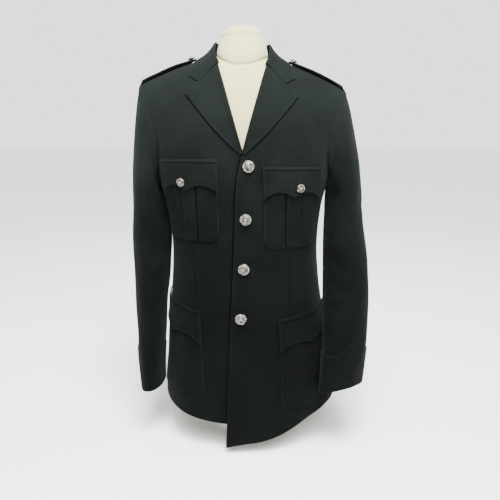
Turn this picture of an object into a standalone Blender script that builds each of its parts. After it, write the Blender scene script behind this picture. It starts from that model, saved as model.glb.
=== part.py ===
"""Police uniform tunic on a limbless dress form with a short stand.

Metres, +Z up. +X is the wearer's left and -Y the front. The origin is the centre of the
underside of the stand's base. The cloth hangs as on a general figure: its shape comes from
the table of sections BODY, a ridge along the shoulders and the sleeves' own sections.
"""

import math
from bisect import bisect_right
from collections import namedtuple

import bmesh
import bpy
import numpy as np
from mathutils import Matrix, Vector

COLLECTION = "police_uniform_tunic"

# Cloth and seams
WALL = 0.0016
DOUBLE_WALL = 0.0024
SEAM = 0.0010
AIR = 0.0007
POCKET_AIR = 0.0010
LEFT, RIGHT = 1, -1
SIDES = {LEFT: "left", RIGHT: "right"}

# The body's surface, outside of the cloth
CHEST = 0.600
RIDGE_TOP = 0.8805
RIDGE_SLOPE = 0.39
RIDGE_ROUND = 0.030
TILT = 0.027
TILT_FROM, TILT_TO = 0.50, 0.80
ARCH_RISE, ARCH_DEPTH = 2.5, 2.0
FORWARD = -0.018
QUARTER = math.pi / 2

Section = namedtuple("Section", "height half_width front back squareness shift")
BODY = (
    Section(0.000, 0.2060, 0.1500, 0.1490, 2.50, 0.0130),
    Section(0.080, 0.2025, 0.1480, 0.1470, 2.50, 0.0120),
    Section(0.200, 0.1895, 0.1430, 0.1420, 2.45, 0.0085),
    Section(0.320, 0.1765, 0.1350, 0.1290, 2.40, 0.0035),
    Section(0.450, 0.1642, 0.1290, 0.1090, 2.40, 0.0000),
    Section(0.540, 0.1720, 0.1310, 0.1130, 2.60, -0.0010),
    Section(0.600, 0.1850, 0.1310, 0.1180, 2.90, -0.0020),
    Section(0.700, 0.2060, 0.1270, 0.1200, 3.00, -0.0035),
    Section(0.800, 0.2440, 0.1190, 0.1140, 3.00, -0.0040),
    Section(0.900, 0.2600, 0.1150, 0.1100, 3.00, -0.0040),
)

# Front edge of the lapping front, the roll lines and the hems
Mark = namedtuple("Mark", "height across")
FRONT_EDGE = (
    Mark(0.010, -0.0410),
    Mark(0.150, -0.0348),
    Mark(0.320, -0.0275),
    Mark(0.490, -0.0195),
    Mark(0.570, -0.0165),
    Mark(0.625, -0.0100),
    Mark(0.661, -0.0010),
)
UNDERLAP = 0.042
ROLL_START = 0.661
ROLL_ACROSS = 0.003
ROLL_SLOPE = 0.28
GORGE_HEIGHT = 0.828
GORGE_SHARE = 0.80
NECK_HALF = 0.066
NECK_BACK = 0.062

Hem = namedtuple("Hem", "share height")
HEM_LEFT = (Hem(0.0, 0.015), Hem(0.22, 0.041), Hem(0.42, 0.072), Hem(0.62, 0.090), Hem(1.0, 0.094))
HEM_RIGHT = (Hem(0.0, 0.071), Hem(0.25, 0.075), Hem(0.5, 0.084), Hem(0.75, 0.098), Hem(1.0, 0.116))
HEM_BACK = (Hem(0.0, 0.116), Hem(0.5, 0.106), Hem(1.0, 0.094))

# Armhole: turn in degrees from the front or back centre, level from chest to shoulder ridge
Notch = namedtuple("Notch", "share front_turn back_turn level")
ARMHOLE = (
    Notch(0.000, 90.0, 90.0, 0.000),
    Notch(0.111, 76.0, 78.0, 0.010),
    Notch(0.222, 64.5, 69.0, 0.045),
    Notch(0.333, 59.0, 64.0, 0.115),
    Notch(0.444, 57.0, 61.5, 0.210),
    Notch(0.555, 56.5, 60.0, 0.330),
    Notch(0.666, 56.5, 59.0, 0.470),
    Notch(0.777, 56.5, 58.0, 0.640),
    Notch(0.888, 56.5, 57.0, 0.820),
    Notch(1.000, 56.5, 56.5, 1.000),
)
UPPER_ROWS = len(ARMHOLE) - 1
LOWER_ROWS = 16
FRONT_COLUMNS = 12
BACK_COLUMNS = 16
LAP_LIFT = 0.0026
LAP_FULL, LAP_END = 0.036, 0.105

# Sleeves: sections down the arm, half sizes before the turn about the vertical
Arm = namedtuple("Arm", "height x y half_x half_y turn")
SLEEVE = {
    LEFT: (
        Arm(0.540, 0.2195, -0.0150, 0.0400, 0.0700, 0.0),
        Arm(0.470, 0.2225, -0.0300, 0.0450, 0.0610, 4.0),
        Arm(0.400, 0.2250, -0.0480, 0.0500, 0.0520, 12.0),
        Arm(0.330, 0.2245, -0.0710, 0.0530, 0.0440, 22.0),
        Arm(0.260, 0.2220, -0.0940, 0.0545, 0.0385, 29.0),
        Arm(0.200, 0.2170, -0.1100, 0.0545, 0.0355, 33.0),
        Arm(0.136, 0.2110, -0.1210, 0.0535, 0.0335, 35.0),
    ),
    RIGHT: (
        Arm(0.540, -0.2120, -0.0120, 0.0350, 0.0740, 0.0),
        Arm(0.470, -0.2105, -0.0120, 0.0430, 0.0690, 1.0),
        Arm(0.400, -0.2116, -0.0170, 0.0408, 0.0660, 2.0),
        Arm(0.330, -0.2134, -0.0310, 0.0358, 0.0645, 2.0),
        Arm(0.260, -0.2142, -0.0380, 0.0316, 0.0635, 0.0),
        Arm(0.200, -0.2160, -0.0430, 0.0270, 0.0625, -2.0),
        Arm(0.118, -0.2145, -0.0480, 0.0215, 0.0615, -3.0),
    ),
}
HEM_SLANT = {LEFT: 0.013, RIGHT: 0.006}
SLANT_REACH = 0.12
SLEEVE_RINGS = 15
CAP_RINGS = 6
CAP_PULL_TOP, CAP_PULL_UNDER = 0.012, 0.012

# Elbow and shoulder drags in the sleeves: troughs given by height, angle round the sleeve and size
Fold = namedtuple("Fold", "side height angle depth spread reach")
SLEEVE_FOLDS = (
    Fold(LEFT, 0.425, 150.0, 0.0040, 0.020, 45.0),
    Fold(LEFT, 0.350, 115.0, 0.0030, 0.016, 40.0),
    Fold(RIGHT, 0.440, 120.0, 0.0035, 0.018, 45.0),
    Fold(RIGHT, 0.370, 100.0, 0.0030, 0.016, 38.0),
)

# Cuffs
CUFF_HEIGHT = 0.092
CUFF_POINT = 0.042
CUFF_POINT_ANGLE = {LEFT: 94.0, RIGHT: 60.0}
CUFF_POINT_REACH = 42.0
CUFF_STEPS = 3

CLOTH = (0.016, 0.019, 0.018)
JERSEY = (0.79, 0.76, 0.66)
SILVER = (0.72, 0.70, 0.66)
ENAMEL = (0.86, 0.86, 0.84)


class Track:
    """Smooth curve through a table: reads all the columns at a value of the first one."""

    def __init__(self, rows):
        data = np.array(rows, dtype=float)
        self.keys = data[:, 0]
        self.values = data[:, 1:]
        self.slopes = np.gradient(self.values, self.keys, axis=0)

    def __call__(self, at):
        at = min(max(at, self.keys[0]), self.keys[-1])
        low = min(bisect_right(self.keys.tolist(), at), len(self.keys) - 1) - 1
        span = self.keys[low + 1] - self.keys[low]
        t = (at - self.keys[low]) / span
        start, end = self.values[low], self.values[low + 1]
        leave, arrive = self.slopes[low] * span, self.slopes[low + 1] * span
        rise = t * t * (3 - 2 * t)
        return start + (end - start) * rise + leave * t * (1 - t) ** 2 - arrive * t * t * (1 - t)


BODY_TRACK = Track(BODY)
EDGE_TRACK = Track(FRONT_EDGE)
ARMHOLE_TRACK = Track(ARMHOLE)
HEM_TRACKS = {LEFT: Track(HEM_LEFT), RIGHT: Track(HEM_RIGHT), "back": Track(HEM_BACK)}
SLEEVE_TRACKS = {side: Track(sorted(rows)) for side, rows in SLEEVE.items()}


def mix(start, end, share):
    return start + (end - start) * share


def ease(share):
    share = min(max(share, 0.0), 1.0)
    return share * share * (3 - 2 * share)


def ridge(across):
    """Height of the shoulder ridge above a point this far from the middle."""
    return RIDGE_TOP - RIDGE_SLOPE * math.hypot(across, RIDGE_ROUND)


def section_at(height):
    return Section(height, *BODY_TRACK(height))


def arch_height(across, level):
    """Height of a point on the arch from the chest to the ridge; level runs from 0 to 1."""
    return mix(CHEST, ridge(across), math.sin(level * QUARTER) ** (2 / ARCH_RISE))


def arch_level(across, height):
    """The level that arch_height would need for this height, or metres below the chest."""
    if height <= CHEST:
        return height - CHEST
    share = min((height - CHEST) / (ridge(across) - CHEST), 1.0)
    return math.asin(share ** (ARCH_RISE / 2)) / QUARTER


def level_height(turn, level):
    """Height at a turn round the body, before the tilt; the arch depends on the width there."""
    if level <= 0:
        return CHEST + level
    height = CHEST
    for _ in range(8):
        row = section_at(height)
        across = row.half_width * abs(math.sin(turn)) ** (2 / row.squareness)
        height = arch_height(across, level)
    return height


def sway(x, y, height, shift):
    lean = TILT * x * ease((height - TILT_FROM) / (TILT_TO - TILT_FROM))
    return Vector((x + shift, y + FORWARD, height - lean))


def bare_skin(turn, level):
    """Point on the body at a turn (0 front, quarter turn side, half turn back) and a level."""
    height = level_height(turn, level)
    row = section_at(height)
    power = 2 / row.squareness
    x = math.copysign(row.half_width * abs(math.sin(turn)) ** power, math.sin(turn))
    depth = -row.front if math.cos(turn) >= 0 else row.back
    y = depth * abs(math.cos(turn)) ** power
    if level > 0:
        y *= max(math.cos(level * QUARTER), 0.0) ** (2 / ARCH_DEPTH)
    return sway(x, y, height, row.shift)


def turn_from_plan(across, depth, back=False):
    """Turn and level of the arch's point at this distance from the middle and this depth."""
    height = ridge(across)
    for _ in range(12):
        row = section_at(height)
        share = min(abs(across) / row.half_width, 1.0)
        reach = (row.back if back else row.front) * (1 - share**row.squareness) ** (1 / row.squareness)
        level = math.acos(min(abs(depth) / reach, 1.0)) / QUARTER
        height = arch_height(across, level)
    turn = math.copysign(math.asin(share ** (row.squareness / 2)), across)
    return (2 * QUARTER - turn if back else turn), level


def across_at(turn, height):
    """Distance from the body's middle at a turn, negative past the middle."""
    row = section_at(height)
    return math.copysign(row.half_width * abs(math.sin(turn)) ** (2 / row.squareness), math.sin(turn))


def skin_normal(turn, level):
    step = 0.02
    upper = min(level + step / 2, 0.999)
    across = bare_skin(turn + step, level) - bare_skin(turn - step, level)
    along = bare_skin(turn, upper) - bare_skin(turn, upper - step)
    return across.cross(along).normalized()


def skin(turn, level, out=0.0):
    point = bare_skin(turn, level)
    if out:
        point += skin_normal(turn, level) * out
    return point


def turn_from_front(across, height):
    """Turn of a point on the front at this distance from the body's middle."""
    row = section_at(height)
    share = min(abs(across) / row.half_width, 1.0)
    return math.copysign(math.asin(share ** (row.squareness / 2)), across)


def lap_lift(side, across, height):
    """The left front rides over the right one near the middle, below the roll line."""
    if side == RIGHT:
        return 0.0
    fade = 1 - ease((height - ROLL_START) / 0.09)
    return LAP_LIFT * (1 - ease((across - LAP_FULL) / (LAP_END - LAP_FULL))) * fade


def front_point(side, across, height, out=0.0):
    """Point on a front panel; across is measured from the body's middle to that side."""
    turn = turn_from_front(across, height)
    level = arch_level(across, height)
    return skin(side * turn, level, out + lap_lift(side, across, height))


def front_normal(side, across, height):
    return skin_normal(side * turn_from_front(across, height), arch_level(across, height))


def roll_across(height):
    return ROLL_ACROSS + ROLL_SLOPE * (height - ROLL_START)


def inner_edge(side, height):
    """Distance of a front's free edge from the body's middle: front edge, then roll line."""
    if height >= ROLL_START:
        return roll_across(height)
    shift = section_at(height).shift
    edge = EDGE_TRACK(height)[0] - shift
    if side == LEFT:
        return edge
    close = ease((ROLL_START - height) / 0.06)
    return mix(roll_across(ROLL_START), -(edge + UNDERLAP), close)


PATH_STEPS = 60


def even_row(path, count):
    """Points at equal distances along a path given by a function of 0 to 1."""
    dense = [path(i / PATH_STEPS) for i in range(PATH_STEPS + 1)]
    reach = [0.0]
    for before, after in zip(dense, dense[1:]):
        reach.append(reach[-1] + (after - before).length)
    columns = np.array([tuple(p) for p in dense]).T
    wanted = np.linspace(0.0, reach[-1], count + 1)
    return [Vector(p) for p in zip(*(np.interp(wanted, reach, column) for column in columns))]


def front_row(side, row):
    """One row of a front panel, from the free edge to the side seam or the armhole."""
    hem = HEM_TRACKS[side]
    if row <= LOWER_ROWS:
        share = row / LOWER_ROWS

        def path(s):
            height = mix(hem(s)[0], CHEST, share)
            start_height = mix(hem(0.0)[0], CHEST, share)
            start = turn_from_front(inner_edge(side, start_height), start_height)
            turn = mix(start, QUARTER, s)
            return skin(side * turn, height - CHEST, lap_lift(side, across_at(turn, height), height))
    else:
        share = (row - LOWER_ROWS) / UPPER_ROWS
        end_turn, _, end_level = ARMHOLE_TRACK(share)
        start_height, start_across = neck_edge(side, share)
        start = turn_from_front(start_across, start_height)
        start_level = arch_level(start_across, start_height)

        def path(s):
            turn = mix(start, math.radians(end_turn), s)
            level = mix(start_level, end_level, s)
            height = level_height(turn, level)
            return skin(side * turn, level, lap_lift(side, across_at(turn, height), height))
    points = even_row(path, FRONT_COLUMNS)
    if row <= LOWER_ROWS:
        points[-1].y -= SEAM / 2
    if row == LOWER_ROWS + UPPER_ROWS:
        for point in points:
            point.y -= SEAM / 2
    return points


def neck_edge(side, share):
    """Height and distance from the middle of a front's edge from the chest to the neck point."""
    if share <= GORGE_SHARE:
        height = mix(CHEST, GORGE_HEIGHT, share / GORGE_SHARE)
        return height, inner_edge(side, height)
    part = (share - GORGE_SHARE) / (1 - GORGE_SHARE)
    across = mix(roll_across(GORGE_HEIGHT), NECK_HALF, ease(part))
    return mix(GORGE_HEIGHT, ridge(NECK_HALF), math.sin(part * QUARTER)), across


def back_row(row):
    """One row of the back, from the right side to the left side."""
    hem = HEM_TRACKS["back"]
    if row <= LOWER_ROWS:
        share = row / LOWER_ROWS

        def path(s):
            height = mix(hem(s)[0], CHEST, share)
            return skin(mix(-QUARTER, -3 * QUARTER, s), height - CHEST)
    else:
        share = (row - LOWER_ROWS) / UPPER_ROWS
        _, end_turn, end_level = ARMHOLE_TRACK(share)
        half = math.radians(end_turn)

        def path(s):
            swing = mix(-half, half, s)
            centre = 1 - abs(2 * s - 1)
            level = mix(end_level, share, ease(centre * 2))
            across = across_at(swing, level_height(swing, level))
            return skin(2 * QUARTER - swing, level * neckline_share(across))
    points = even_row(path, BACK_COLUMNS)
    if row <= LOWER_ROWS:
        points[0].y += SEAM / 2
        points[-1].y += SEAM / 2
    if row == LOWER_ROWS + UPPER_ROWS:
        for point in points:
            point.y += SEAM / 2
    return points


def neckline_share(across):
    """How far up the arch the back reaches: less inside the neckline's oval."""
    inside = max(1 - (across / NECK_HALF) ** 2, 0.0)
    depth = NECK_BACK * math.sqrt(inside)
    return math.acos(min(depth / section_at(RIDGE_TOP).back, 1.0)) / QUARTER


def armhole_points(side):
    """Edge of the armhole from the shoulder's top forward, under the arm and up the back."""
    front = [front_row(side, LOWER_ROWS + row)[-1] for row in range(UPPER_ROWS + 1)]
    edge = 0 if side == RIGHT else -1
    back = [back_row(LOWER_ROWS + row)[edge] for row in range(UPPER_ROWS + 1)]
    loop = front[::-1] + back[1:-1]
    loop[0] = (front[-1] + back[-1]) / 2
    loop[UPPER_ROWS] = (front[0] + back[0]) / 2
    return loop


def fold_depth(side, height, angle):
    depth = 0.0
    for fold in SLEEVE_FOLDS:
        if fold.side == side:
            turn = (angle - fold.angle + 180.0) % 360.0 - 180.0
            near = ((height - fold.height) / fold.spread) ** 2 + (turn / fold.reach) ** 2
            depth += fold.depth * math.exp(-near)
    return depth


def sleeve_point(side, angle, height, out=0.0):
    """Point on a sleeve; the angle runs from the outer side over the front to the inner side."""
    near_hem = 1 - ease((height - SLEEVE[side][-1].height) / SLANT_REACH)
    height += HEM_SLANT[side] * (1 + math.sin(math.radians(angle))) * near_hem
    arm = Arm(height, *SLEEVE_TRACKS[side](height))
    inward = out - fold_depth(side, height, angle)
    a = math.radians(angle)
    x = (arm.half_x + inward) * math.cos(a) * side
    y = -(arm.half_y + inward) * math.sin(a)
    turned = Matrix.Rotation(math.radians(arm.turn), 3, "Z") @ Vector((x, y, 0))
    return turned + Vector((arm.x, arm.y + FORWARD, height))


def sleeve_rows(side):
    """Rings of a sleeve from the cuff up to the armhole."""
    table = SLEEVE[side]
    top, hem = table[0].height, table[-1].height
    count = 2 * UPPER_ROWS
    angles = [360.0 * k / count for k in range(count)]
    straight = SLEEVE_RINGS - CAP_RINGS
    rows = []
    for ring in range(straight + 1):
        height = mix(hem, top, ring / straight)
        rows.append([sleeve_point(side, angle, height) for angle in angles])
    edge = armhole_points(side)
    for ring in range(1, CAP_RINGS + 1):
        share = ring / CAP_RINGS
        row = []
        for k, angle in enumerate(angles):
            under = (1 - math.cos(math.radians(angle))) / 2
            leave = Vector((side * mix(CAP_PULL_TOP, CAP_PULL_UNDER, under), 0, -0.010))
            start = edge[k] + leave.normalized() * SEAM * 1.5
            drop = (start - rows[straight][k]).length
            end = rows[straight][k]
            t = 1 - share
            rise = t * t * (3 - 2 * t)
            bend = leave * 3 * t * (1 - t) ** 2
            land = Vector((0, 0, -drop)) * -1.0 * t * t * (1 - t)
            row.append(start + (end - start) * rise + bend + land)
        rows.append(row)
    for row in rows:
        row.append(row[0])
    return rows


def cuff_rows(side):
    """Cuff band over the sleeve's end, its upper edge rising to a point."""
    hem = SLEEVE[side][-1].height
    count = 2 * UPPER_ROWS
    rows = []
    for step in range(CUFF_STEPS + 1):
        row = []
        for k in range(count + 1):
            angle = 360.0 * k / count
            turn = abs((angle - CUFF_POINT_ANGLE[side] + 180.0) % 360.0 - 180.0)
            top = CUFF_HEIGHT + CUFF_POINT * max(1 - turn / CUFF_POINT_REACH, 0.0)
            height = hem + mix(0.0, top, step / CUFF_STEPS)
            row.append(sleeve_point(side, angle, height, AIR))
        rows.append(row)
    return rows


# Pieces laid on the fronts
Patch = namedtuple("Patch", "side inner top width depth corner slant")
CHEST_POCKETS = (
    Patch(LEFT, 0.0415, 0.616, 0.121, 0.156, 0.022, 0.0),
    Patch(RIGHT, 0.0510, 0.628, 0.121, 0.154, 0.022, 0.0),
)
LOWER_POCKETS = (
    Patch(LEFT, 0.0700, 0.296, 0.150, 0.192, 0.018, 0.0),
    Patch(RIGHT, 0.0980, 0.311, 0.150, 0.180, 0.018, 0.0),
)
CHEST_FLAPS = (
    Patch(LEFT, 0.0400, 0.6275, 0.124, 0.0640, 0.0, 0.0),
    Patch(RIGHT, 0.0505, 0.6405, 0.124, 0.0640, 0.0, 0.0),
)
LOWER_FLAPS = (
    Patch(LEFT, 0.0685, 0.3075, 0.152, 0.0720, 0.0, 0.13),
    Patch(RIGHT, 0.0965, 0.3225, 0.152, 0.0720, 0.0, 0.17),
)
PLEAT_HALF = 0.014
PLEAT_LIFT = 0.0018
SCALLOP = 0.0125
POINT_SHORT = 0.0030
FLAP_STEP = 0.010
POCKET_COLUMNS = (0.0, 0.12, 0.26, 0.375, 0.39, 0.61, 0.625, 0.74, 0.88, 1.0)
PLAIN_COLUMNS = (0.0, 0.13, 0.26, 0.38, 0.5, 0.62, 0.74, 0.87, 1.0)
POCKET_ROWS = (0.0, 0.12, 0.27, 0.42, 0.57, 0.72, 0.86, 0.94, 1.0)
FLAP_ROWS = (0.0, 0.16, 0.55, 1.0)
FLAP_COLUMNS = 14


def across_by_cloth(side, height, inner, reach):
    """Distance from the middle after this much cloth measured round the front."""
    across, travelled = inner, 0.0
    last = front_point(side, across, height)
    step = 0.004
    widest = section_at(height).half_width * 0.9995
    while travelled < reach and across < widest:
        ahead = min(across + step, widest)
        point = front_point(side, ahead, height)
        length = (point - last).length
        if travelled + length >= reach:
            return mix(across, ahead, (reach - travelled) / length)
        across, travelled, last = ahead, travelled + length, point
    return across


def patch_point(patch, u, v_height, out):
    across = across_by_cloth(patch.side, v_height, patch.inner, u * patch.width)
    return front_point(patch.side, across, v_height, out)


def pocket_rows(patch, columns, pleated):
    """Patch pocket from its mouth down, with round lower corners and a raised middle pleat."""
    rows = []
    for v in POCKET_ROWS:
        left = (1 - v) * patch.depth
        cut = 0.0
        if left < patch.corner:
            cut = patch.corner - math.sqrt(patch.corner**2 - (patch.corner - left) ** 2)
        row = []
        for u in columns:
            share = mix(cut / patch.width, 1 - cut / patch.width, u)
            from_middle = abs(u - 0.5) * patch.width
            pleat = PLEAT_LIFT if pleated and from_middle < PLEAT_HALF else 0.0
            row.append(patch_point(patch, share, patch.top - v * patch.depth, POCKET_AIR + pleat))
        rows.append(row)
    return rows[::-1]


def scallop_depth(patch, u):
    """Lower edge of a flap: two arcs between three points, the middle one a little shorter."""
    wave = abs(math.sin(2 * math.pi * u)) ** 0.75
    middle = 1 - abs(2 * u - 1)
    return patch.depth - SCALLOP * wave - POINT_SHORT * middle


def flap_rows(patch, over):
    """Flap from its seam down; it clears the pocket's mouth below the first row."""
    rows = []
    for v in FLAP_ROWS:
        row = []
        for k in range(FLAP_COLUMNS + 1):
            u = k / FLAP_COLUMNS
            depth = scallop_depth(patch, u) * v
            out = mix(AIR, over, ease(depth / FLAP_STEP))
            rise = patch.slant * patch.width * u
            row.append(patch_point(patch, u, patch.top + rise - depth, out))
        rows.append(row)
    return rows[::-1]


# Lapels and collar, in distance from the body's middle and height
Corner = namedtuple("Corner", "across height")
LAPEL_POINT = Corner(0.1120, 0.7665)
LAPEL_BELLY = Corner(0.0800, 0.7270)
LAPEL_TURN = Corner(0.0455, 0.6885)
LAPEL_FOOT = Corner(0.0060, 0.6520)
NOTCH_INNER = Corner(0.0875, 0.7905)
GORGE_MIDDLE = Corner(0.0705, 0.8080)
GORGE_TOP = Corner(0.0512, 0.8270)
COLLAR_POINT = Corner(0.1080, 0.8025)
COLLAR_GAP = 0.0010
LAPEL_ROWS = 10
ROLL_CLEAR = 0.0004


def curve_through(corners, share):
    """Point on a smooth curve through corners spaced evenly in share."""
    rows = [(k / (len(corners) - 1), *corner) for k, corner in enumerate(corners)]
    return Corner(*Track(rows)(share))


def lapel_rows(side):
    """Lapel from its foot at the break up to the gorge, folded flat on the front."""
    top = (GORGE_TOP, GORGE_MIDDLE, NOTCH_INNER, LAPEL_POINT)
    outer_edge = (LAPEL_FOOT, LAPEL_TURN, LAPEL_BELLY, LAPEL_POINT)
    rows = []
    for step in range(LAPEL_ROWS + 1):
        share = step / LAPEL_ROWS
        height = mix(LAPEL_FOOT.height, GORGE_TOP.height, share)
        inner = Corner(roll_across(height) + ROLL_CLEAR, height)
        outer = curve_through(outer_edge, share)
        row = []
        for k, cut in enumerate(top):
            u = k / (len(top) - 1)
            plain = Corner(mix(inner.across, outer.across, u), mix(inner.height, outer.height, u))
            blend = share**4
            across = mix(plain.across, cut.across, blend)
            high = mix(plain.height, cut.height - COLLAR_GAP, blend)
            row.append(front_point(side, across, high, AIR))
        rows.append(row)
    return rows


# Ribs across the collar by angle from the middle of the back: places in plan from the neck's
# centre, and how far the fold stands above the shoulder
Rib = namedtuple("Rib", "angle fold_across fold_depth fold_lift edge_across edge_depth")
COLLAR = (
    Rib(0.0, 0.0000, 0.0610, 0.0360, 0.0000, 0.0800),
    Rib(30.0, 0.0310, 0.0530, 0.0340, 0.0440, 0.0700),
    Rib(60.0, 0.0480, 0.0290, 0.0290, 0.0760, 0.0400),
    Rib(90.0, 0.0560, 0.0000, 0.0250, 0.0920, 0.0020),
    Rib(112.0, 0.0585, -0.0260, 0.0170, 0.0980, -0.0260),
    Rib(132.0, 0.0560, -0.0460, 0.0080, 0.1050, -0.0490),
)
COLLAR_TRACK = Track(COLLAR)
COLLAR_STEPS = 24
COLLAR_END = 150.0
COLLAR_AIR = 0.0013
END_LIFT = 0.0022
NECK_CLEAR = 0.0026
FALL_BEHIND = 0.055
STAND_SHARE = 0.65

# Points from the fold out to the edge of the fall: share of the way and share of the fold's lift
Ply = namedtuple("Ply", "way lift")
FALL = (Ply(0.22, 0.56), Ply(0.52, 0.22), Ply(1.0, 0.0))
Place = namedtuple("Place", "across depth lift")


def collar_rows():
    """Collar round the neck from the right end to the left: stand, fold and fall."""
    rows = []
    for step in range(COLLAR_STEPS + 1):
        swing = mix(-COLLAR_END, COLLAR_END, step / COLLAR_STEPS)
        rows.append(collar_rib(LEFT if swing >= 0 else RIGHT, abs(swing)))
    return rows


def collar_rib(side, angle):
    """Points across the collar at an angle from the middle of the back."""
    rib = Rib(angle, *COLLAR_TRACK(angle))
    places = [Place(rib.fold_across, rib.fold_depth, rib.fold_lift)]
    for ply in FALL:
        across = mix(rib.fold_across, rib.edge_across, ply.way)
        depth = mix(rib.fold_depth, rib.edge_depth, ply.way)
        places.append(Place(across, depth, rib.fold_lift * ply.lift))
    share = ease((angle - 90.0) / (COLLAR_END - 90.0))
    places = [Place(*mix(np.array(a), np.array(b), share)) for a, b in zip(places, collar_end(side))]
    points = [over_shoulder(side, place) for place in places]
    foot = collar_foot(side, angle)
    return [foot, mix(foot, points[0], STAND_SHARE)] + points


def over_shoulder(side, place):
    """A place in plan carried up to the shoulder's surface and lifted above it."""
    turn, level = turn_from_plan(side * place.across, place.depth, place.depth > 0)
    return skin(turn, level, COLLAR_AIR) + Vector((0.0, 0.0, place.lift))


def collar_foot(side, angle):
    """Foot of the stand, just inside the neck edge of the back and the fronts."""
    if angle <= 90.0:
        swing = math.radians(angle)
        across = (NECK_HALF - NECK_CLEAR) * math.sin(swing)
        depth = (NECK_BACK - NECK_CLEAR) * math.cos(swing)
        return skin(*turn_from_plan(side * across, depth, True))
    part = (COLLAR_END - angle) / (COLLAR_END - 90.0)
    height, across = neck_edge(side, mix(GORGE_SHARE, 1.0, part))
    return front_point(side, across - NECK_CLEAR, height)


def collar_end(side):
    """The collar's front end: its fold, then along the gorge and out to the collar's point."""
    corners = (GORGE_TOP, GORGE_MIDDLE, NOTCH_INNER, COLLAR_POINT)
    lifts = (END_LIFT, 0.0, 0.0, 0.0)
    places = []
    for corner, lift in zip(corners, lifts):
        point = front_point(side, *corner)
        shift = section_at(corner.height).shift
        places.append(Place(side * (point.x - shift), point.y - FORWARD, lift))
    return places


# Epaulettes: straps along the shoulder ridge
STRAP_OUTER, STRAP_INNER = 0.2120, 0.0975
STRAP_HALF_OUTER, STRAP_HALF_INNER = 0.0240, 0.0185
STRAP_POINT = 0.016
STRAP_DEPTH = -0.004
STRAP_STEPS = 10


def strap_rows(side):
    """Epaulette from the armhole to its pointed end beside the collar."""
    rows = []
    for step in range(STRAP_STEPS + 1):
        across = mix(STRAP_OUTER, STRAP_INNER, step / STRAP_STEPS)
        half = mix(STRAP_HALF_OUTER, STRAP_HALF_INNER, step / STRAP_STEPS)
        left = across - STRAP_INNER
        if left < STRAP_POINT:
            half *= mix(0.30, 1.0, left / STRAP_POINT)
        row = []
        for k in range(5):
            depth = STRAP_DEPTH + mix(-half, half, k / 4)
            turn, level = turn_from_plan(side * across, depth, depth > 0)
            row.append(skin(turn, level, AIR))
        rows.append(row)
    return rows


# Buttons: a dome with a rolled rim on a short shank
Button = namedtuple("Button", "radius dome back shank")
LARGE_BUTTON = Button(0.0120, 0.0050, 0.0016, 0.0022)
SMALL_BUTTON = Button(0.0092, 0.0036, 0.0012, 0.0018)
SHANK_RADIUS = 0.0028
SHANK_GAP = 0.0004
RIM = 0.0009
BUTTON_STEPS = 14
FRONT_BUTTONS = (
    Corner(0.0090, 0.6280),
    Corner(0.0030, 0.5230),
    Corner(-0.0010, 0.4190),
    Corner(-0.0072, 0.3130),
)
CHEST_BUTTONS = {LEFT: Corner(0.1120, 0.5860), RIGHT: Corner(0.1215, 0.5965)}
FLAP_OVER = POCKET_AIR + WALL + PLEAT_LIFT + AIR
LOWER_OVER = POCKET_AIR + WALL + AIR
STRAP_BUTTON = 0.1060


def button_profile(kind):
    """Half section from the top of the dome out to the rim, round the back and down the shank."""
    base = kind.shank + kind.back
    points = [(0.0, base + kind.dome)]
    for step in range(1, 4):
        angle = step / 4 * QUARTER
        points.append(((kind.radius - RIM) * math.sin(angle), base + kind.dome * math.cos(angle)))
    points += [
        (kind.radius - RIM, base + 0.0007),
        (kind.radius, base),
        (kind.radius - RIM / 2, kind.shank + 0.0003),
        (SHANK_RADIUS, kind.shank),
        (SHANK_RADIUS, 0.0),
        (0.0, 0.0),
    ]
    return points


# Dress form
FORM_BOTTOM = 0.205
FORM_INSET = ((0.20, 0.0170), (0.32, 0.0150), (0.45, 0.0110), (0.55, 0.0070), (0.62, 0.0055), (0.90, 0.0046))
PLATE = 0.1665
FORM_COLUMNS = 20
FORM_LOWER, FORM_UPPER = 7, 7
NECK_FIRST, NECK_LAST = 5, 15
NECK_X, NECK_Y, NECK_CENTRE = 0.0535, 0.0500, 0.0040
RIDGE_STOPS = (0.146, 0.112, 0.080)
TOUCH = 0.0003
INSET_TRACK = Track(FORM_INSET)


def form_point(turn, level):
    """Point on the form: the body's shape, a little smaller, with flat plates at the armholes."""
    height = level_height(turn, level)
    row = section_at(height)
    inset = INSET_TRACK(height)[0]
    power = 2 / row.squareness
    across = min((row.half_width - inset) * abs(math.sin(turn)) ** power, plate_across(height))
    if level > 0:
        high = math.sin(level * QUARTER) ** (2 / ARCH_RISE)
        height = mix(CHEST, ridge(across) - inset * 1.1, high)
    depth = inset - row.front if math.cos(turn) >= 0 else row.back - inset
    y = depth * abs(math.cos(turn)) ** power
    if level > 0:
        y *= max(math.cos(level * QUARTER), 0.0) ** (2 / ARCH_DEPTH)
    return sway(math.copysign(across, math.sin(turn)), y, height, row.shift)


def plate_across(height):
    """The form is cut off flat below the shoulders, but not round the waist and hips."""
    return mix(0.30, PLATE, ease((height - 0.50) / 0.10))


def form_top(column, back):
    """Turn and level where a column of the form ends: plate, shoulder ridge or neck."""
    middle = FORM_COLUMNS // 2
    sign = 1 if column >= middle else -1
    from_end = min(column, FORM_COLUMNS - column)
    if from_end == 0:
        return sign * QUARTER, 1.0
    if from_end == 1:
        return sign * turn_from_front(PLATE, ridge(PLATE)), 1.0
    if from_end < NECK_FIRST:
        across = RIDGE_STOPS[from_end - 2]
        return sign * turn_from_front(across, ridge(across)), 1.0
    angle = math.pi * (column - NECK_FIRST) / (NECK_LAST - NECK_FIRST)
    across = -NECK_X * math.cos(angle)
    depth = (NECK_Y + (NECK_CENTRE if back else -NECK_CENTRE)) * math.sin(angle)
    turn, level = turn_from_plan(across, depth, back)
    return (2 * QUARTER - turn if back else turn), level


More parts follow.
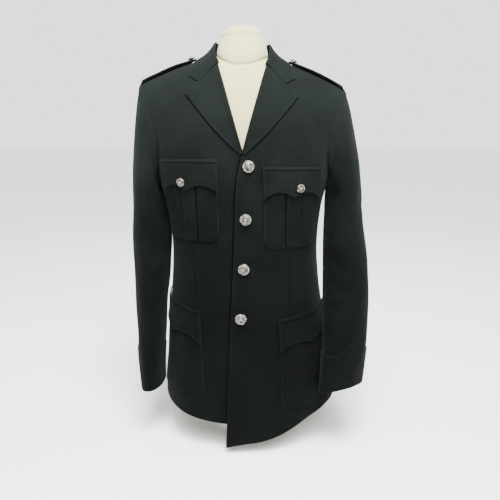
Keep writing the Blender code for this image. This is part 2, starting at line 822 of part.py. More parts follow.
def form_half(back):
    rows = []
    for row in range(FORM_LOWER + FORM_UPPER + 1):
        line = []
        for column in range(FORM_COLUMNS + 1):
            low = mix(-QUARTER, QUARTER, column / FORM_COLUMNS)
            if row <= FORM_LOWER:
                turn, level = low, mix(FORM_BOTTOM, CHEST, row / FORM_LOWER) - CHEST
            else:
                share = (row - FORM_LOWER) / FORM_UPPER
                end, top = form_top(column, back)
                turn, level = mix(low, end, share), top * share
            line.append(form_point(2 * QUARTER - turn if back else turn, level))
        rows.append(line)
    return rows


def neck_ring():
    """Seam between the form's torso and neck, all round."""
    front = form_half(False)[-1][NECK_FIRST:NECK_LAST + 1]
    back = form_half(True)[-1][NECK_FIRST:NECK_LAST + 1]
    return front + back[::-1][1:-1]


NECK_TOP_X, NECK_TOP_Y = 0.0500, 0.0480
NECK_TOP = 0.888
DOME = 0.026
NECK_LEAN = 0.003
NECK_SHARES = (0.0, 0.18, 0.42, 0.70, 1.0)
DOME_STEPS = (0.25, 0.5, 0.75, 0.92)


def neck_rows():
    """Neck from its seam up a slight waist to a low dome."""
    ring = neck_ring()
    middle = Vector((section_at(NECK_TOP).shift, NECK_LEAN + FORWARD, 0))
    rows = []
    for share in NECK_SHARES:
        draw = math.sin(share * QUARTER) ** 0.8
        row = []
        for point in ring:
            angle = math.atan2(point.y - middle.y, point.x - middle.x)
            top = middle + Vector((NECK_TOP_X * math.cos(angle), NECK_TOP_Y * math.sin(angle), NECK_TOP))
            spot = mix(point, top, draw)
            spot.z = mix(point.z, NECK_TOP, share) + TOUCH
            row.append(spot)
        rows.append(row)
    brim = rows[-1]
    for step in DOME_STEPS:
        angle = step * QUARTER
        lift = Vector((0, 0, DOME * math.sin(angle)))
        rows.append([middle + Vector((0, 0, p.z)) + (p - middle - Vector((0, 0, p.z))) * math.cos(angle) + lift
                     for p in brim])
    return [row + [row[0]] for row in rows]


# Stand
BASE_RADIUS = 0.085
BASE_THICK = 0.012
BASE_ROUND = 0.004
COLUMN_RADIUS = 0.0125
FLANGE_RADIUS, FLANGE_THICK = 0.036, 0.004
SOCKET_RADIUS, SOCKET_HEIGHT = 0.022, 0.020
STAND_STEPS = 24


def base_profile():
    return [
        (0.0, BASE_THICK),
        (BASE_RADIUS - BASE_ROUND, BASE_THICK),
        (BASE_RADIUS - BASE_ROUND * 0.3, BASE_THICK - BASE_ROUND * 0.3),
        (BASE_RADIUS, BASE_THICK - BASE_ROUND),
        (BASE_RADIUS, 0.0),
        (0.0, 0.0),
    ]


def column_profile():
    top = FORM_BOTTOM - TOUCH
    bottom = BASE_THICK + TOUCH
    return [
        (0.0, top),
        (FLANGE_RADIUS, top),
        (FLANGE_RADIUS, top - FLANGE_THICK),
        (COLUMN_RADIUS, top - FLANGE_THICK * 2),
        (COLUMN_RADIUS, bottom + SOCKET_HEIGHT),
        (SOCKET_RADIUS, bottom + SOCKET_HEIGHT * 0.8),
        (SOCKET_RADIUS, bottom),
        (0.0, bottom),
    ]


def new_object(name, mesh, material):
    thing = bpy.data.objects.new(name, mesh)
    mesh.materials.append(material)
    bpy.data.collections[COLLECTION].objects.link(thing)
    return thing


def finish_mesh(name, mesh_data, material, smooth_below=50.0):
    mesh = bpy.data.meshes.new(name)
    mesh_data.to_mesh(mesh)
    mesh_data.free()
    mesh.shade_smooth()
    mesh.set_sharp_from_angle(angle=math.radians(smooth_below))
    return new_object(name, mesh, material)


def bend_grid(rows):
    """A flat grid whose points are moved to the rows, all rows being equally long."""
    across, along = len(rows[0]) - 1, len(rows) - 1
    grid = bmesh.new()
    bmesh.ops.create_grid(grid, x_segments=across, y_segments=along, size=1.0)
    for vertex in grid.verts:
        column = round((vertex.co.x + 1) / 2 * across)
        row = round((vertex.co.y + 1) / 2 * along)
        vertex.co = rows[row][column]
    return grid


def face_away(grid, inside):
    """Turn all faces of an open sheet away from a point behind it."""
    lean = sum((face.calc_center_median() - inside).dot(face.normal) for face in grid.faces)
    if lean < 0:
        bmesh.ops.reverse_faces(grid, faces=grid.faces)


def cloth(name, rows, material, wall=WALL, outward=False, closed=False, inside=None):
    """A cloth wall on a bent grid; its thickness lies behind the grid, or in front of it."""
    grid = bend_grid(rows)
    if closed:
        bmesh.ops.remove_doubles(grid, verts=grid.verts, dist=0.00001)
    grid.normal_update()
    face_away(grid, inside if inside else Vector((0, 0, rows[len(rows) // 2][0].z)))
    thing = finish_mesh(name, grid, material)
    solid = thing.modifiers.new("Wall", "SOLIDIFY")
    solid.thickness = wall
    solid.offset = 1.0 if outward else -1.0
    return thing


def fill_round(grid, fan):
    """Close the open edges, each loop with a flat face or with a fan round its middle."""
    edges = [edge for edge in grid.edges if edge.is_boundary]
    faces = bmesh.ops.holes_fill(grid, edges=edges, sides=0)["faces"]
    if fan:
        bmesh.ops.poke(grid, faces=faces)


def turned(name, profile, material, steps, matrix=None):
    """A profile turned about the vertical, then set where the matrix says."""
    mesh = bpy.data.meshes.new(name)
    edges = [(i, i + 1) for i in range(len(profile) - 1)]
    mesh.from_pydata([(x, 0.0, z) for x, z in profile], edges, [])
    thing = new_object(name, mesh, material)
    screw = thing.modifiers.new("Turn", "SCREW")
    screw.steps = steps
    screw.render_steps = steps
    screw.use_merge_vertices = True
    screw.merge_threshold = 0.00005
    if matrix:
        thing.matrix_world = matrix
    return thing


def make_material(name, colour, roughness, metallic):
    material = bpy.data.materials.new(name)
    material.use_nodes = True
    shader = material.node_tree.nodes["Principled BSDF"]
    shader.inputs["Base Color"].default_value = (*colour, 1.0)
    shader.inputs["Roughness"].default_value = roughness
    shader.inputs["Metallic"].default_value = metallic
    return material


def cloth_around(name, rows, material, outward):
    """A tube round the arm: its faces look away from the arm's own line at each height."""
    grid = bend_grid(rows)
    bmesh.ops.remove_doubles(grid, verts=grid.verts, dist=0.00001)
    grid.normal_update()
    middle = sum((v.co for v in grid.verts), Vector()) / len(grid.verts)
    lean = 0.0
    for face in grid.faces:
        centre = face.calc_center_median()
        lean += (centre - Vector((middle.x, middle.y, centre.z))).dot(face.normal)
    if lean < 0:
        bmesh.ops.reverse_faces(grid, faces=grid.faces)
    thing = finish_mesh(name, grid, material)
    solid = thing.modifiers.new("Wall", "SOLIDIFY")
    solid.thickness = WALL
    solid.offset = 1.0 if outward else -1.0
    return thing


def surface_matrix(point, normal):
    return Matrix.Translation(point) @ normal.to_track_quat("Z", "Y").to_matrix().to_4x4()


def build_panels(wool):
    rows = LOWER_ROWS + UPPER_ROWS + 1
    for side, name in SIDES.items():
        cloth(f"front_{name}", [front_row(side, row) for row in range(rows)], wool)
    cloth("back", [back_row(row) for row in range(rows)], wool)


def build_sleeves(wool):
    for side, name in SIDES.items():
        cloth_around(f"sleeve_{name}", sleeve_rows(side), wool, False)
        cloth_around(f"cuff_{name}", cuff_rows(side), wool, True)


def build_pockets(wool):
    for patch in CHEST_POCKETS:
        rows = pocket_rows(patch, POCKET_COLUMNS, True)
        cloth(f"chest_pocket_{SIDES[patch.side]}", rows, wool, outward=True)
    for patch in LOWER_POCKETS:
        rows = pocket_rows(patch, PLAIN_COLUMNS, False)
        cloth(f"lower_pocket_{SIDES[patch.side]}", rows, wool, outward=True)
    for patch in CHEST_FLAPS:
        cloth(f"chest_flap_{SIDES[patch.side]}", flap_rows(patch, FLAP_OVER), wool, outward=True)
    for patch in LOWER_FLAPS:
        cloth(f"lower_flap_{SIDES[patch.side]}", flap_rows(patch, LOWER_OVER), wool, outward=True)


def build_collar_and_straps(wool):
    for side, name in SIDES.items():
        cloth(f"lapel_{name}", lapel_rows(side), wool, outward=True)
        below = Vector((0, 0, CHEST))
        cloth(f"epaulette_{name}", strap_rows(side), wool, DOUBLE_WALL, outward=True, inside=below)
    build_collar(wool)


def build_collar(wool):
    """The collar's wall lies outside its fold: towards the neck on the stand, outward on the fall."""
    grid = bend_grid(collar_rows())
    grid.normal_update()
    fall = [face for face in grid.faces if face.calc_center_median().y > FALL_BEHIND]
    if sum(face.normal.y for face in fall) < 0:
        bmesh.ops.reverse_faces(grid, faces=grid.faces)
    thing = finish_mesh("collar", grid, wool)
    solid = thing.modifiers.new("Wall", "SOLIDIFY")
    solid.thickness = WALL
    solid.offset = 1.0


def build_buttons(metal):
    for number, spot in enumerate(FRONT_BUTTONS, 1):
        across = spot.across - section_at(spot.height).shift
        point = front_point(LEFT, across, spot.height, SHANK_GAP)
        matrix = surface_matrix(point, front_normal(LEFT, across, spot.height))
        turned(f"front_button_{number}", button_profile(LARGE_BUTTON), metal, BUTTON_STEPS, matrix)
    for side, name in SIDES.items():
        spot = CHEST_BUTTONS[side]
        out = FLAP_OVER + WALL + SHANK_GAP
        matrix = surface_matrix(front_point(side, *spot, out), front_normal(side, *spot))
        turned(f"chest_button_{name}", button_profile(SMALL_BUTTON), metal, BUTTON_STEPS, matrix)
        turn, level = turn_from_plan(side * STRAP_BUTTON, STRAP_DEPTH)
        out = AIR + DOUBLE_WALL + SHANK_GAP
        matrix = surface_matrix(skin(turn, level, out), skin_normal(turn, level))
        turned(f"epaulette_button_{name}", button_profile(SMALL_BUTTON), metal, BUTTON_STEPS, matrix)


def build_form(jersey):
    torso = bend_grid(form_half(False))
    back = bend_grid(form_half(True))
    half = bpy.data.meshes.new("back_half")
    back.to_mesh(half)
    back.free()
    torso.from_mesh(half)
    bpy.data.meshes.remove(half)
    bmesh.ops.remove_doubles(torso, verts=torso.verts, dist=0.00002)
    close_form(torso)
    finish_mesh("form_torso", torso, jersey, 60.0)
    neck = bend_grid(neck_rows())
    bmesh.ops.remove_doubles(neck, verts=neck.verts, dist=0.00002)
    fill_round(neck, True)
    bmesh.ops.recalc_face_normals(neck, faces=neck.faces)
    finish_mesh("form_neck", neck, jersey, 60.0)


def close_form(torso):
    """The underside is one flat face; the neck hole is closed by a fan."""
    fill_round(torso, False)
    caps = [face for face in torso.faces if len(face.verts) > 4 and face.calc_center_median().z > CHEST]
    bmesh.ops.poke(torso, faces=caps)
    bmesh.ops.recalc_face_normals(torso, faces=torso.faces)


def build_stand(metal, enamel):
    turned("stand_column", column_profile(), metal, STAND_STEPS)
    turned("stand_base", base_profile(), enamel, STAND_STEPS)


def main():
    for thing in list(bpy.data.objects):
        bpy.data.objects.remove(thing)
    collection = bpy.data.collections.new(COLLECTION)
    bpy.context.scene.collection.children.link(collection)
    wool = make_material("wool", CLOTH, 0.85, 0.0)
    jersey = make_material("jersey", JERSEY, 0.9, 0.0)
    silver = make_material("silver", SILVER, 0.3, 1.0)
    enamel = make_material("enamel", ENAMEL, 0.4, 0.0)
    build_panels(wool)
    build_sleeves(wool)
    build_pockets(wool)
    build_collar_and_straps(wool)
    build_buttons(silver)
    build_form(jersey)
    build_stand(silver, enamel)


main()
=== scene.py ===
"""Police uniform tunic on a dress form: cloth, sewing, buttons, form, stand, light and camera.

The cloth follows the same surfaces as the solids: a body made of sections and a shoulder
ridge, and sleeves made of their own sections. Folds are soft troughs and ridges on them.
"""
import math
from collections import namedtuple

import bmesh
import bpy
import numpy as np
from bpy.props import FloatProperty, FloatVectorProperty, IntProperty, PointerProperty
from mathutils import Matrix, Vector


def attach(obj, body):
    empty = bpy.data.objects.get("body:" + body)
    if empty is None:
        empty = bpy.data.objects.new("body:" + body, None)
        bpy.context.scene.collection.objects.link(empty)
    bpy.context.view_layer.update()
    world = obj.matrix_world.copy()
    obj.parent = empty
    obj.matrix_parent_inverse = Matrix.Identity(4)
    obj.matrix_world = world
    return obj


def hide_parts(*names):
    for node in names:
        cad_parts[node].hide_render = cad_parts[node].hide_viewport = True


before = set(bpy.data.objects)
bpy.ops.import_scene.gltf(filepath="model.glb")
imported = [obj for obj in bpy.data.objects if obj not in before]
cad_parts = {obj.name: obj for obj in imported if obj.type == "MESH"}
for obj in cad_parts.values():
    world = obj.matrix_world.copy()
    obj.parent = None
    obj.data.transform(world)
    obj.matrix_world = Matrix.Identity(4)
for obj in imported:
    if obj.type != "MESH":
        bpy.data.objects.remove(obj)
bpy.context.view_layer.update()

bl_info = {
    "name": "Uniform tunic on a dress form",
    "version": (1, 0, 0),
    "blender": (4, 5, 0),
    "location": "View3D > Sidebar > Tunic",
    "description": "Builds a dark wool uniform tunic, its sewing and buttons, on a dress form",
    "category": "Object",
}

BODY_NAME = "root"
LEFT, RIGHT = 1, -1
SIDES = {LEFT: "left", RIGHT: "right"}
QUARTER = math.pi / 2

# Cloth and seams
WALL = 0.0016
DOUBLE_WALL = 0.0024
SEAM = 0.0004
SIDE_LAP = 0.0002
AIR = 0.0007
POCKET_AIR = 0.0010

# The body's surface, outside of the cloth
CHEST = 0.600
RIDGE_TOP = 0.8805
RIDGE_SLOPE = 0.39
RIDGE_ROUND = 0.030
TILT = 0.027
TILT_FROM, TILT_TO = 0.50, 0.80
ARCH_RISE, ARCH_DEPTH = 2.5, 2.0
FORWARD = -0.018

Section = namedtuple("Section", "height half_width front back squareness shift")
BODY = (
    Section(0.000, 0.2060, 0.1500, 0.1490, 2.50, 0.0130),
    Section(0.080, 0.2025, 0.1480, 0.1470, 2.50, 0.0120),
    Section(0.200, 0.1895, 0.1430, 0.1420, 2.45, 0.0085),
    Section(0.320, 0.1765, 0.1350, 0.1290, 2.40, 0.0035),
    Section(0.450, 0.1642, 0.1290, 0.1090, 2.40, 0.0000),
    Section(0.540, 0.1720, 0.1310, 0.1130, 2.60, -0.0010),
    Section(0.600, 0.1850, 0.1310, 0.1180, 2.90, -0.0020),
    Section(0.700, 0.2060, 0.1270, 0.1200, 3.00, -0.0035),
    Section(0.800, 0.2440, 0.1190, 0.1140, 3.00, -0.0040),
    Section(0.900, 0.2600, 0.1150, 0.1100, 3.00, -0.0040),
)

# Front edge of the lapping front, the roll lines and the hems
Mark = namedtuple("Mark", "height across")
FRONT_EDGE = (
    Mark(0.010, -0.0410),
    Mark(0.150, -0.0348),
    Mark(0.320, -0.0275),
    Mark(0.490, -0.0195),
    Mark(0.570, -0.0165),
    Mark(0.625, -0.0100),
    Mark(0.661, -0.0010),
)
UNDERLAP = 0.042
ROLL_START, ROLL_ACROSS, ROLL_SLOPE = 0.661, 0.003, 0.28
GORGE_HEIGHT, GORGE_SHARE = 0.828, 0.80
NECK_HALF, NECK_BACK = 0.066, 0.062
LAP_LIFT, LAP_FULL, LAP_END = 0.0026, 0.036, 0.105

Hem = namedtuple("Hem", "share height")
HEM_LEFT = (Hem(0.0, 0.015), Hem(0.22, 0.041), Hem(0.42, 0.072), Hem(0.62, 0.090), Hem(1.0, 0.094))
HEM_RIGHT = (Hem(0.0, 0.071), Hem(0.25, 0.075), Hem(0.5, 0.084), Hem(0.75, 0.098), Hem(1.0, 0.116))
HEM_BACK = (Hem(0.0, 0.116), Hem(0.5, 0.106), Hem(1.0, 0.094))

# Armhole: turn in degrees from the front or back centre, level from chest to shoulder ridge
Notch = namedtuple("Notch", "share front_turn back_turn level")
ARMHOLE = (
    Notch(0.000, 90.0, 90.0, 0.000),
    Notch(0.111, 76.0, 78.0, 0.010),
    Notch(0.222, 64.5, 69.0, 0.045),
    Notch(0.333, 59.0, 64.0, 0.115),
    Notch(0.444, 57.0, 61.5, 0.210),
    Notch(0.555, 56.5, 60.0, 0.330),
    Notch(0.666, 56.5, 59.0, 0.470),
    Notch(0.777, 56.5, 58.0, 0.640),
    Notch(0.888, 56.5, 57.0, 0.820),
    Notch(1.000, 56.5, 56.5, 1.000),
)

# Sleeves: sections down the arm, half sizes before the turn about the vertical
Arm = namedtuple("Arm", "height x y half_x half_y turn")
SLEEVE = {
    LEFT: (
        Arm(0.540, 0.2195, -0.0150, 0.0400, 0.0700, 0.0),
        Arm(0.470, 0.2225, -0.0300, 0.0450, 0.0610, 4.0),
        Arm(0.400, 0.2250, -0.0480, 0.0500, 0.0520, 12.0),
        Arm(0.330, 0.2245, -0.0710, 0.0530, 0.0440, 22.0),
        Arm(0.260, 0.2220, -0.0940, 0.0545, 0.0385, 29.0),
        Arm(0.200, 0.2170, -0.1100, 0.0545, 0.0355, 33.0),
        Arm(0.136, 0.2110, -0.1210, 0.0535, 0.0335, 35.0),
    ),
    RIGHT: (
        Arm(0.540, -0.2120, -0.0120, 0.0350, 0.0740, 0.0),
        Arm(0.470, -0.2105, -0.0120, 0.0430, 0.0690, 1.0),
        Arm(0.400, -0.2116, -0.0170, 0.0408, 0.0660, 2.0),
        Arm(0.330, -0.2134, -0.0310, 0.0358, 0.0645, 2.0),
        Arm(0.260, -0.2142, -0.0380, 0.0316, 0.0635, 0.0),
        Arm(0.200, -0.2160, -0.0430, 0.0270, 0.0625, -2.0),
        Arm(0.118, -0.2145, -0.0480, 0.0215, 0.0615, -3.0),
    ),
}
HEM_SLANT = {LEFT: 0.013, RIGHT: 0.006}
SLANT_REACH = 0.12
CAP_PULL_TOP, CAP_PULL_UNDER = 0.012, 0.012

# Soft folds in the body's cloth: a line from one place to another by turn in degrees, 0 at the
# front, positive to the wearer's left, and height; depth is positive for a trough
Crease = namedtuple("Crease", "turn height to_turn to_height depth width")
BODY_CREASES = (
    Crease(52.0, 0.690, 66.0, 0.560, 0.0022, 0.014),
    Crease(-52.0, 0.700, -68.0, 0.570, 0.0024, 0.014),
    Crease(58.0, 0.640, 76.0, 0.500, -0.0016, 0.012),
    Crease(14.0, 0.500, 62.0, 0.455, 0.0016, 0.016),
    Crease(20.0, 0.430, 70.0, 0.440, 0.0020, 0.014),
    Crease(-18.0, 0.520, -64.0, 0.462, 0.0017, 0.015),
    Crease(-16.0, 0.420, -72.0, 0.432, 0.0021, 0.014),
    Crease(8.0, 0.560, 34.0, 0.520, 0.0012, 0.012),
    Crease(-6.0, 0.350, -40.0, 0.366, 0.0012, 0.013),
    Crease(4.0, 0.290, 9.0, 0.090, 0.0022, 0.020),
    Crease(33.0, 0.200, 38.0, 0.050, 0.0028, 0.022),
    Crease(-31.0, 0.210, -35.0, 0.080, 0.0026, 0.022),
    Crease(62.0, 0.300, 66.0, 0.095, -0.0024, 0.024),
    Crease(-64.0, 0.300, -68.0, 0.105, -0.0024, 0.024),
    Crease(84.0, 0.400, 88.0, 0.120, 0.0026, 0.022),
    Crease(-84.0, 0.400, -88.0, 0.120, 0.0026, 0.022),
    Crease(112.0, 0.720, 128.0, 0.540, 0.0030, 0.018),
    Crease(-112.0, 0.700, -130.0, 0.530, 0.0028, 0.018),
    Crease(135.0, 0.470, 172.0, 0.455, 0.0024, 0.015),
    Crease(-140.0, 0.480, -178.0, 0.462, 0.0022, 0.015),
    Crease(128.0, 0.430, 160.0, 0.412, -0.0015, 0.012),
    Crease(150.0, 0.360, 147.0, 0.110, 0.0028, 0.024),
    Crease(-152.0, 0.360, -148.0, 0.115, 0.0028, 0.024),
    Crease(122.0, 0.350, 118.0, 0.110, -0.0022, 0.022),
    Crease(-120.0, 0.340, -117.0, 0.115, -0.0022, 0.022),
    Crease(178.0, 0.760, 179.0, 0.640, 0.0016, 0.020),
    Crease(150.0, 0.800, 168.0, 0.770, 0.0014, 0.014),
    Crease(-148.0, 0.800, -170.0, 0.772, 0.0014, 0.014),
)

# Sleeve drags: height and angle round the sleeve from its outer side over the front
Drag = namedtuple("Drag", "side height angle to_height to_angle depth width")
SLEEVE_DRAGS = (
    Drag(LEFT, 0.440, 175.0, 0.405, 115.0, 0.0052, 0.016),
    Drag(LEFT, 0.372, 150.0, 0.352, 78.0, 0.0038, 0.013),
    Drag(LEFT, 0.405, 168.0, 0.384, 120.0, -0.0022, 0.009),
    Drag(LEFT, 0.330, 172.0, 0.318, 120.0, 0.0030, 0.012),
    Drag(LEFT, 0.300, 100.0, 0.240, 70.0, 0.0016, 0.014),
    Drag(LEFT, 0.600, 150.0, 0.520, 110.0, 0.0030, 0.016),
    Drag(LEFT, 0.560, 60.0, 0.400, 62.0, 0.0016, 0.018),
    Drag(LEFT, 0.360, 250.0, 0.345, 320.0, 0.0034, 0.014),
    Drag(LEFT, 0.420, 240.0, 0.400, 300.0, 0.0028, 0.014),
    Drag(LEFT, 0.590, 235.0, 0.500, 265.0, 0.0030, 0.016),
    Drag(RIGHT, 0.455, 165.0, 0.425, 95.0, 0.0044, 0.016),
    Drag(RIGHT, 0.385, 145.0, 0.368, 70.0, 0.0036, 0.013),
    Drag(RIGHT, 0.420, 160.0, 0.402, 105.0, -0.0020, 0.009),
    Drag(RIGHT, 0.320, 150.0, 0.300, 90.0, 0.0026, 0.013),
    Drag(RIGHT, 0.600, 150.0, 0.525, 108.0, 0.0030, 0.016),
    Drag(RIGHT, 0.540, 48.0, 0.380, 55.0, 0.0016, 0.018),
    Drag(RIGHT, 0.370, 250.0, 0.352, 318.0, 0.0034, 0.014),
    Drag(RIGHT, 0.430, 238.0, 0.412, 296.0, 0.0028, 0.014),
    Drag(RIGHT, 0.590, 235.0, 0.505, 262.0, 0.0030, 0.016),
)

# Cuffs
CUFF_HEIGHT = 0.092
CUFF_POINT = 0.042
CUFF_POINT_ANGLE = {LEFT: 94.0, RIGHT: 60.0}
CUFF_POINT_REACH = 42.0

# Pieces laid on the fronts
Patch = namedtuple("Patch", "side inner top width depth corner slant")
CHEST_POCKETS = (
    Patch(LEFT, 0.0415, 0.616, 0.121, 0.156, 0.022, 0.0),
    Patch(RIGHT, 0.0510, 0.628, 0.121, 0.154, 0.022, 0.0),
)
LOWER_POCKETS = (
    Patch(LEFT, 0.0700, 0.296, 0.150, 0.192, 0.018, 0.0),
    Patch(RIGHT, 0.0980, 0.311, 0.150, 0.180, 0.018, 0.0),
)
CHEST_FLAPS = (
    Patch(LEFT, 0.0400, 0.6275, 0.124, 0.0640, 0.0, 0.0),
    Patch(RIGHT, 0.0505, 0.6405, 0.124, 0.0640, 0.0, 0.0),
)
LOWER_FLAPS = (
    Patch(LEFT, 0.0685, 0.3075, 0.152, 0.0720, 0.0, 0.13),
    Patch(RIGHT, 0.0965, 0.3225, 0.152, 0.0720, 0.0, 0.17),
)
PLEAT_HALF, PLEAT_LIFT, PLEAT_EDGE = 0.014, 0.0018, 0.0016
SCALLOP = 0.0125
POINT_SHORT = 0.0030
FLAP_STEP = 0.010
FLAP_OVER = POCKET_AIR + WALL + PLEAT_LIFT + AIR
LOWER_OVER = POCKET_AIR + WALL + AIR

# Lapels and collar, in distance from the body's middle and height
Corner = namedtuple("Corner", "across height")
LAPEL_POINT = Corner(0.1120, 0.7665)
LAPEL_BELLY = Corner(0.0800, 0.7270)
LAPEL_TURN = Corner(0.0455, 0.6885)
LAPEL_FOOT = Corner(0.0060, 0.6520)
NOTCH_INNER = Corner(0.0875, 0.7905)
GORGE_MIDDLE = Corner(0.0705, 0.8080)
GORGE_TOP = Corner(0.0512, 0.8270)
COLLAR_POINT = Corner(0.1080, 0.8025)
COLLAR_GAP = 0.0010

Rib = namedtuple("Rib", "angle fold_across fold_depth fold_lift edge_across edge_depth")
COLLAR = (
    Rib(0.0, 0.0000, 0.0610, 0.0360, 0.0000, 0.0800),
    Rib(30.0, 0.0310, 0.0530, 0.0340, 0.0440, 0.0700),
    Rib(60.0, 0.0480, 0.0290, 0.0290, 0.0760, 0.0400),
    Rib(90.0, 0.0560, 0.0000, 0.0250, 0.0920, 0.0020),
    Rib(112.0, 0.0585, -0.0260, 0.0170, 0.0980, -0.0260),
    Rib(132.0, 0.0560, -0.0460, 0.0080, 0.1050, -0.0490),
)
COLLAR_END = 150.0
COLLAR_AIR = 0.0013
END_LIFT = 0.0022
NECK_CLEAR = 0.0026
STAND_SHARE = 0.65
FALL_BEHIND = 0.055
Ply = namedtuple("Ply", "way lift")
FALL = (Ply(0.0, 1.0), Ply(0.22, 0.56), Ply(0.52, 0.22), Ply(1.0, 0.0))

# Epaulettes
STRAP_OUTER, STRAP_INNER = 0.2120, 0.0975
STRAP_HALF_OUTER, STRAP_HALF_INNER = 0.0240, 0.0185
STRAP_POINT = 0.016
STRAP_DEPTH = -0.004
STRAP_BUTTON = 0.1060

# Buttons
Button = namedtuple("Button", "radius dome back shank")
LARGE_BUTTON = Button(0.0116, 0.0050, 0.0016, 0.0022)
SMALL_BUTTON = Button(0.0087, 0.0036, 0.0012, 0.0018)
SHANK_GAP = 0.0004
SHANK_RADIUS = 0.0028
FRONT_BUTTONS = (
    Corner(0.0090, 0.6280),
    Corner(0.0030, 0.5230),
    Corner(-0.0010, 0.4190),
    Corner(-0.0072, 0.3130),
)
CHEST_BUTTONS = {LEFT: Corner(0.1120, 0.5860), RIGHT: Corner(0.1215, 0.5965)}

# Dress form and stand
FORM_BOTTOM = 0.205
FORM_INSET = ((0.20, 0.0170), (0.32, 0.0150), (0.45, 0.0110), (0.55, 0.0070), (0.62, 0.0055), (0.90, 0.0046))
PLATE = 0.1665
NECK_X, NECK_Y, NECK_CENTRE = 0.0550, 0.0500, 0.0040
NECK_TOP_X, NECK_TOP_Y, NECK_TOP = 0.0470, 0.0460, 0.888
NECK_LEAN, DOME = 0.003, 0.026
SEAM_DROP = 0.0190
TOUCH = 0.0003
BASE_RADIUS, BASE_THICK, BASE_ROUND = 0.085, 0.012, 0.004
COLUMN_RADIUS = 0.0125
FLANGE_RADIUS, FLANGE_THICK = 0.036, 0.004
SOCKET_RADIUS, SOCKET_HEIGHT = 0.022, 0.020

# Darts pressed in the fronts, from below the chest pockets down to the lower flaps
Dart = namedtuple("Dart", "across low high slope")
FRONT_DARTS = {LEFT: Dart(0.0955, 0.350, 0.462, 0.0), RIGHT: Dart(-0.1010, 0.350, 0.474, -0.035)}
BACK_SEAM = Dart(0.0070, 0.0, 1.0, 0.0)
DART_WIDTH = 0.0017

# Fineness of the sheets
FRONT_FINE = (60, 66, 52)
BACK_FINE = (88, 60, 48)
SLEEVE_FINE = (72, 84, 26)
METRES_PER_DEGREE = 0.0027

# Camera
CAMERA_PLACE = (0.012, -1.098, 0.670)
CAMERA_DOWN = 12.5
CAMERA_LENS = 34.2


class Track:
    """Smooth curve through a table: reads all the columns at values of the first one."""

    def __init__(self, rows):
        data = np.array(rows, dtype=float)
        self.keys, self.values = data[:, 0], data[:, 1:]
        self.slopes = np.gradient(self.values, self.keys, axis=0)

    def __call__(self, at):
        at = np.clip(np.asarray(at, dtype=float), self.keys[0], self.keys[-1])
        low = np.clip(np.searchsorted(self.keys, at, side="right") - 1, 0, len(self.keys) - 2)
        span = (self.keys[low + 1] - self.keys[low])[..., None]
        t = (at - self.keys[low])[..., None] / span
        start, end = self.values[low], self.values[low + 1]
        leave, arrive = self.slopes[low] * span, self.slopes[low + 1] * span
        rise = t * t * (3 - 2 * t)
        return start + (end - start) * rise + leave * t * (1 - t) ** 2 - arrive * t * t * (1 - t)

    def columns(self, at):
        return np.moveaxis(self(at), -1, 0)


BODY_TRACK = Track(BODY)
EDGE_TRACK = Track(FRONT_EDGE)
ARMHOLE_TRACK = Track(ARMHOLE)
COLLAR_TRACK = Track(COLLAR)
INSET_TRACK = Track(FORM_INSET)
HEM_TRACKS = {LEFT: Track(HEM_LEFT), RIGHT: Track(HEM_RIGHT), "back": Track(HEM_BACK)}
SLEEVE_TRACKS = {side: Track(sorted(rows)) for side, rows in SLEEVE.items()}


def mix(start, end, share):
    return start + (end - start) * share


def ease(share):
    share = np.clip(share, 0.0, 1.0)
    return share * share * (3 - 2 * share)


def stacked(*parts):
    return np.stack(np.broadcast_arrays(*parts), axis=-1)


def unit(vectors):
    return vectors / np.maximum(np.linalg.norm(vectors, axis=-1, keepdims=True), 1e-9)


def ridge(across):
    """Height of the shoulder ridge above a point this far from the middle."""
    return RIDGE_TOP - RIDGE_SLOPE * np.hypot(across, RIDGE_ROUND)


def arch_height(across, level):
    """Height of a point on the arch from the chest to the ridge; level runs from 0 to 1."""
    return mix(CHEST, ridge(across), np.sin(np.clip(level, 0, 1) * QUARTER) ** (2 / ARCH_RISE))


def arch_level(across, height):
    """The level that arch_height would need for this height, or metres below the chest."""
    share = np.clip((height - CHEST) / (ridge(across) - CHEST), 0.0, 1.0)
    return np.where(height <= CHEST, height - CHEST, np.arcsin(share ** (ARCH_RISE / 2)) / QUARTER)


def level_height(turn, level):
    """Height at a turn round the body, before the tilt; the arch depends on the width there."""
    height = np.full(np.broadcast(turn, level).shape, CHEST)
    for _ in range(8):
        half_width, _, _, square, _ = BODY_TRACK.columns(height)
        across = half_width * np.abs(np.sin(turn)) ** (2 / square)
        height = arch_height(across, level)
    return np.where(level <= 0, CHEST + level, height)


def sway(x, y, height, shift):
    lean = TILT * x * ease((height - TILT_FROM) / (TILT_TO - TILT_FROM))
    return stacked(x + shift, y + FORWARD, height - lean)


def bare_skin(turn, level):
    """Point on the body at a turn (0 front, quarter turn side, half turn back) and a level."""
    turn, level = np.broadcast_arrays(np.asarray(turn, float), np.asarray(level, float))
    height = level_height(turn, level)
    half_width, front, back, square, shift = BODY_TRACK.columns(height)
    power = 2 / square
    x = np.sign(np.sin(turn)) * half_width * np.abs(np.sin(turn)) ** power
    y = np.where(np.cos(turn) >= 0, -front, back) * np.abs(np.cos(turn)) ** power
    arch = np.maximum(np.cos(np.maximum(level, 0) * QUARTER), 0.0) ** (2 / ARCH_DEPTH)
    return sway(x, y * arch, height, shift)


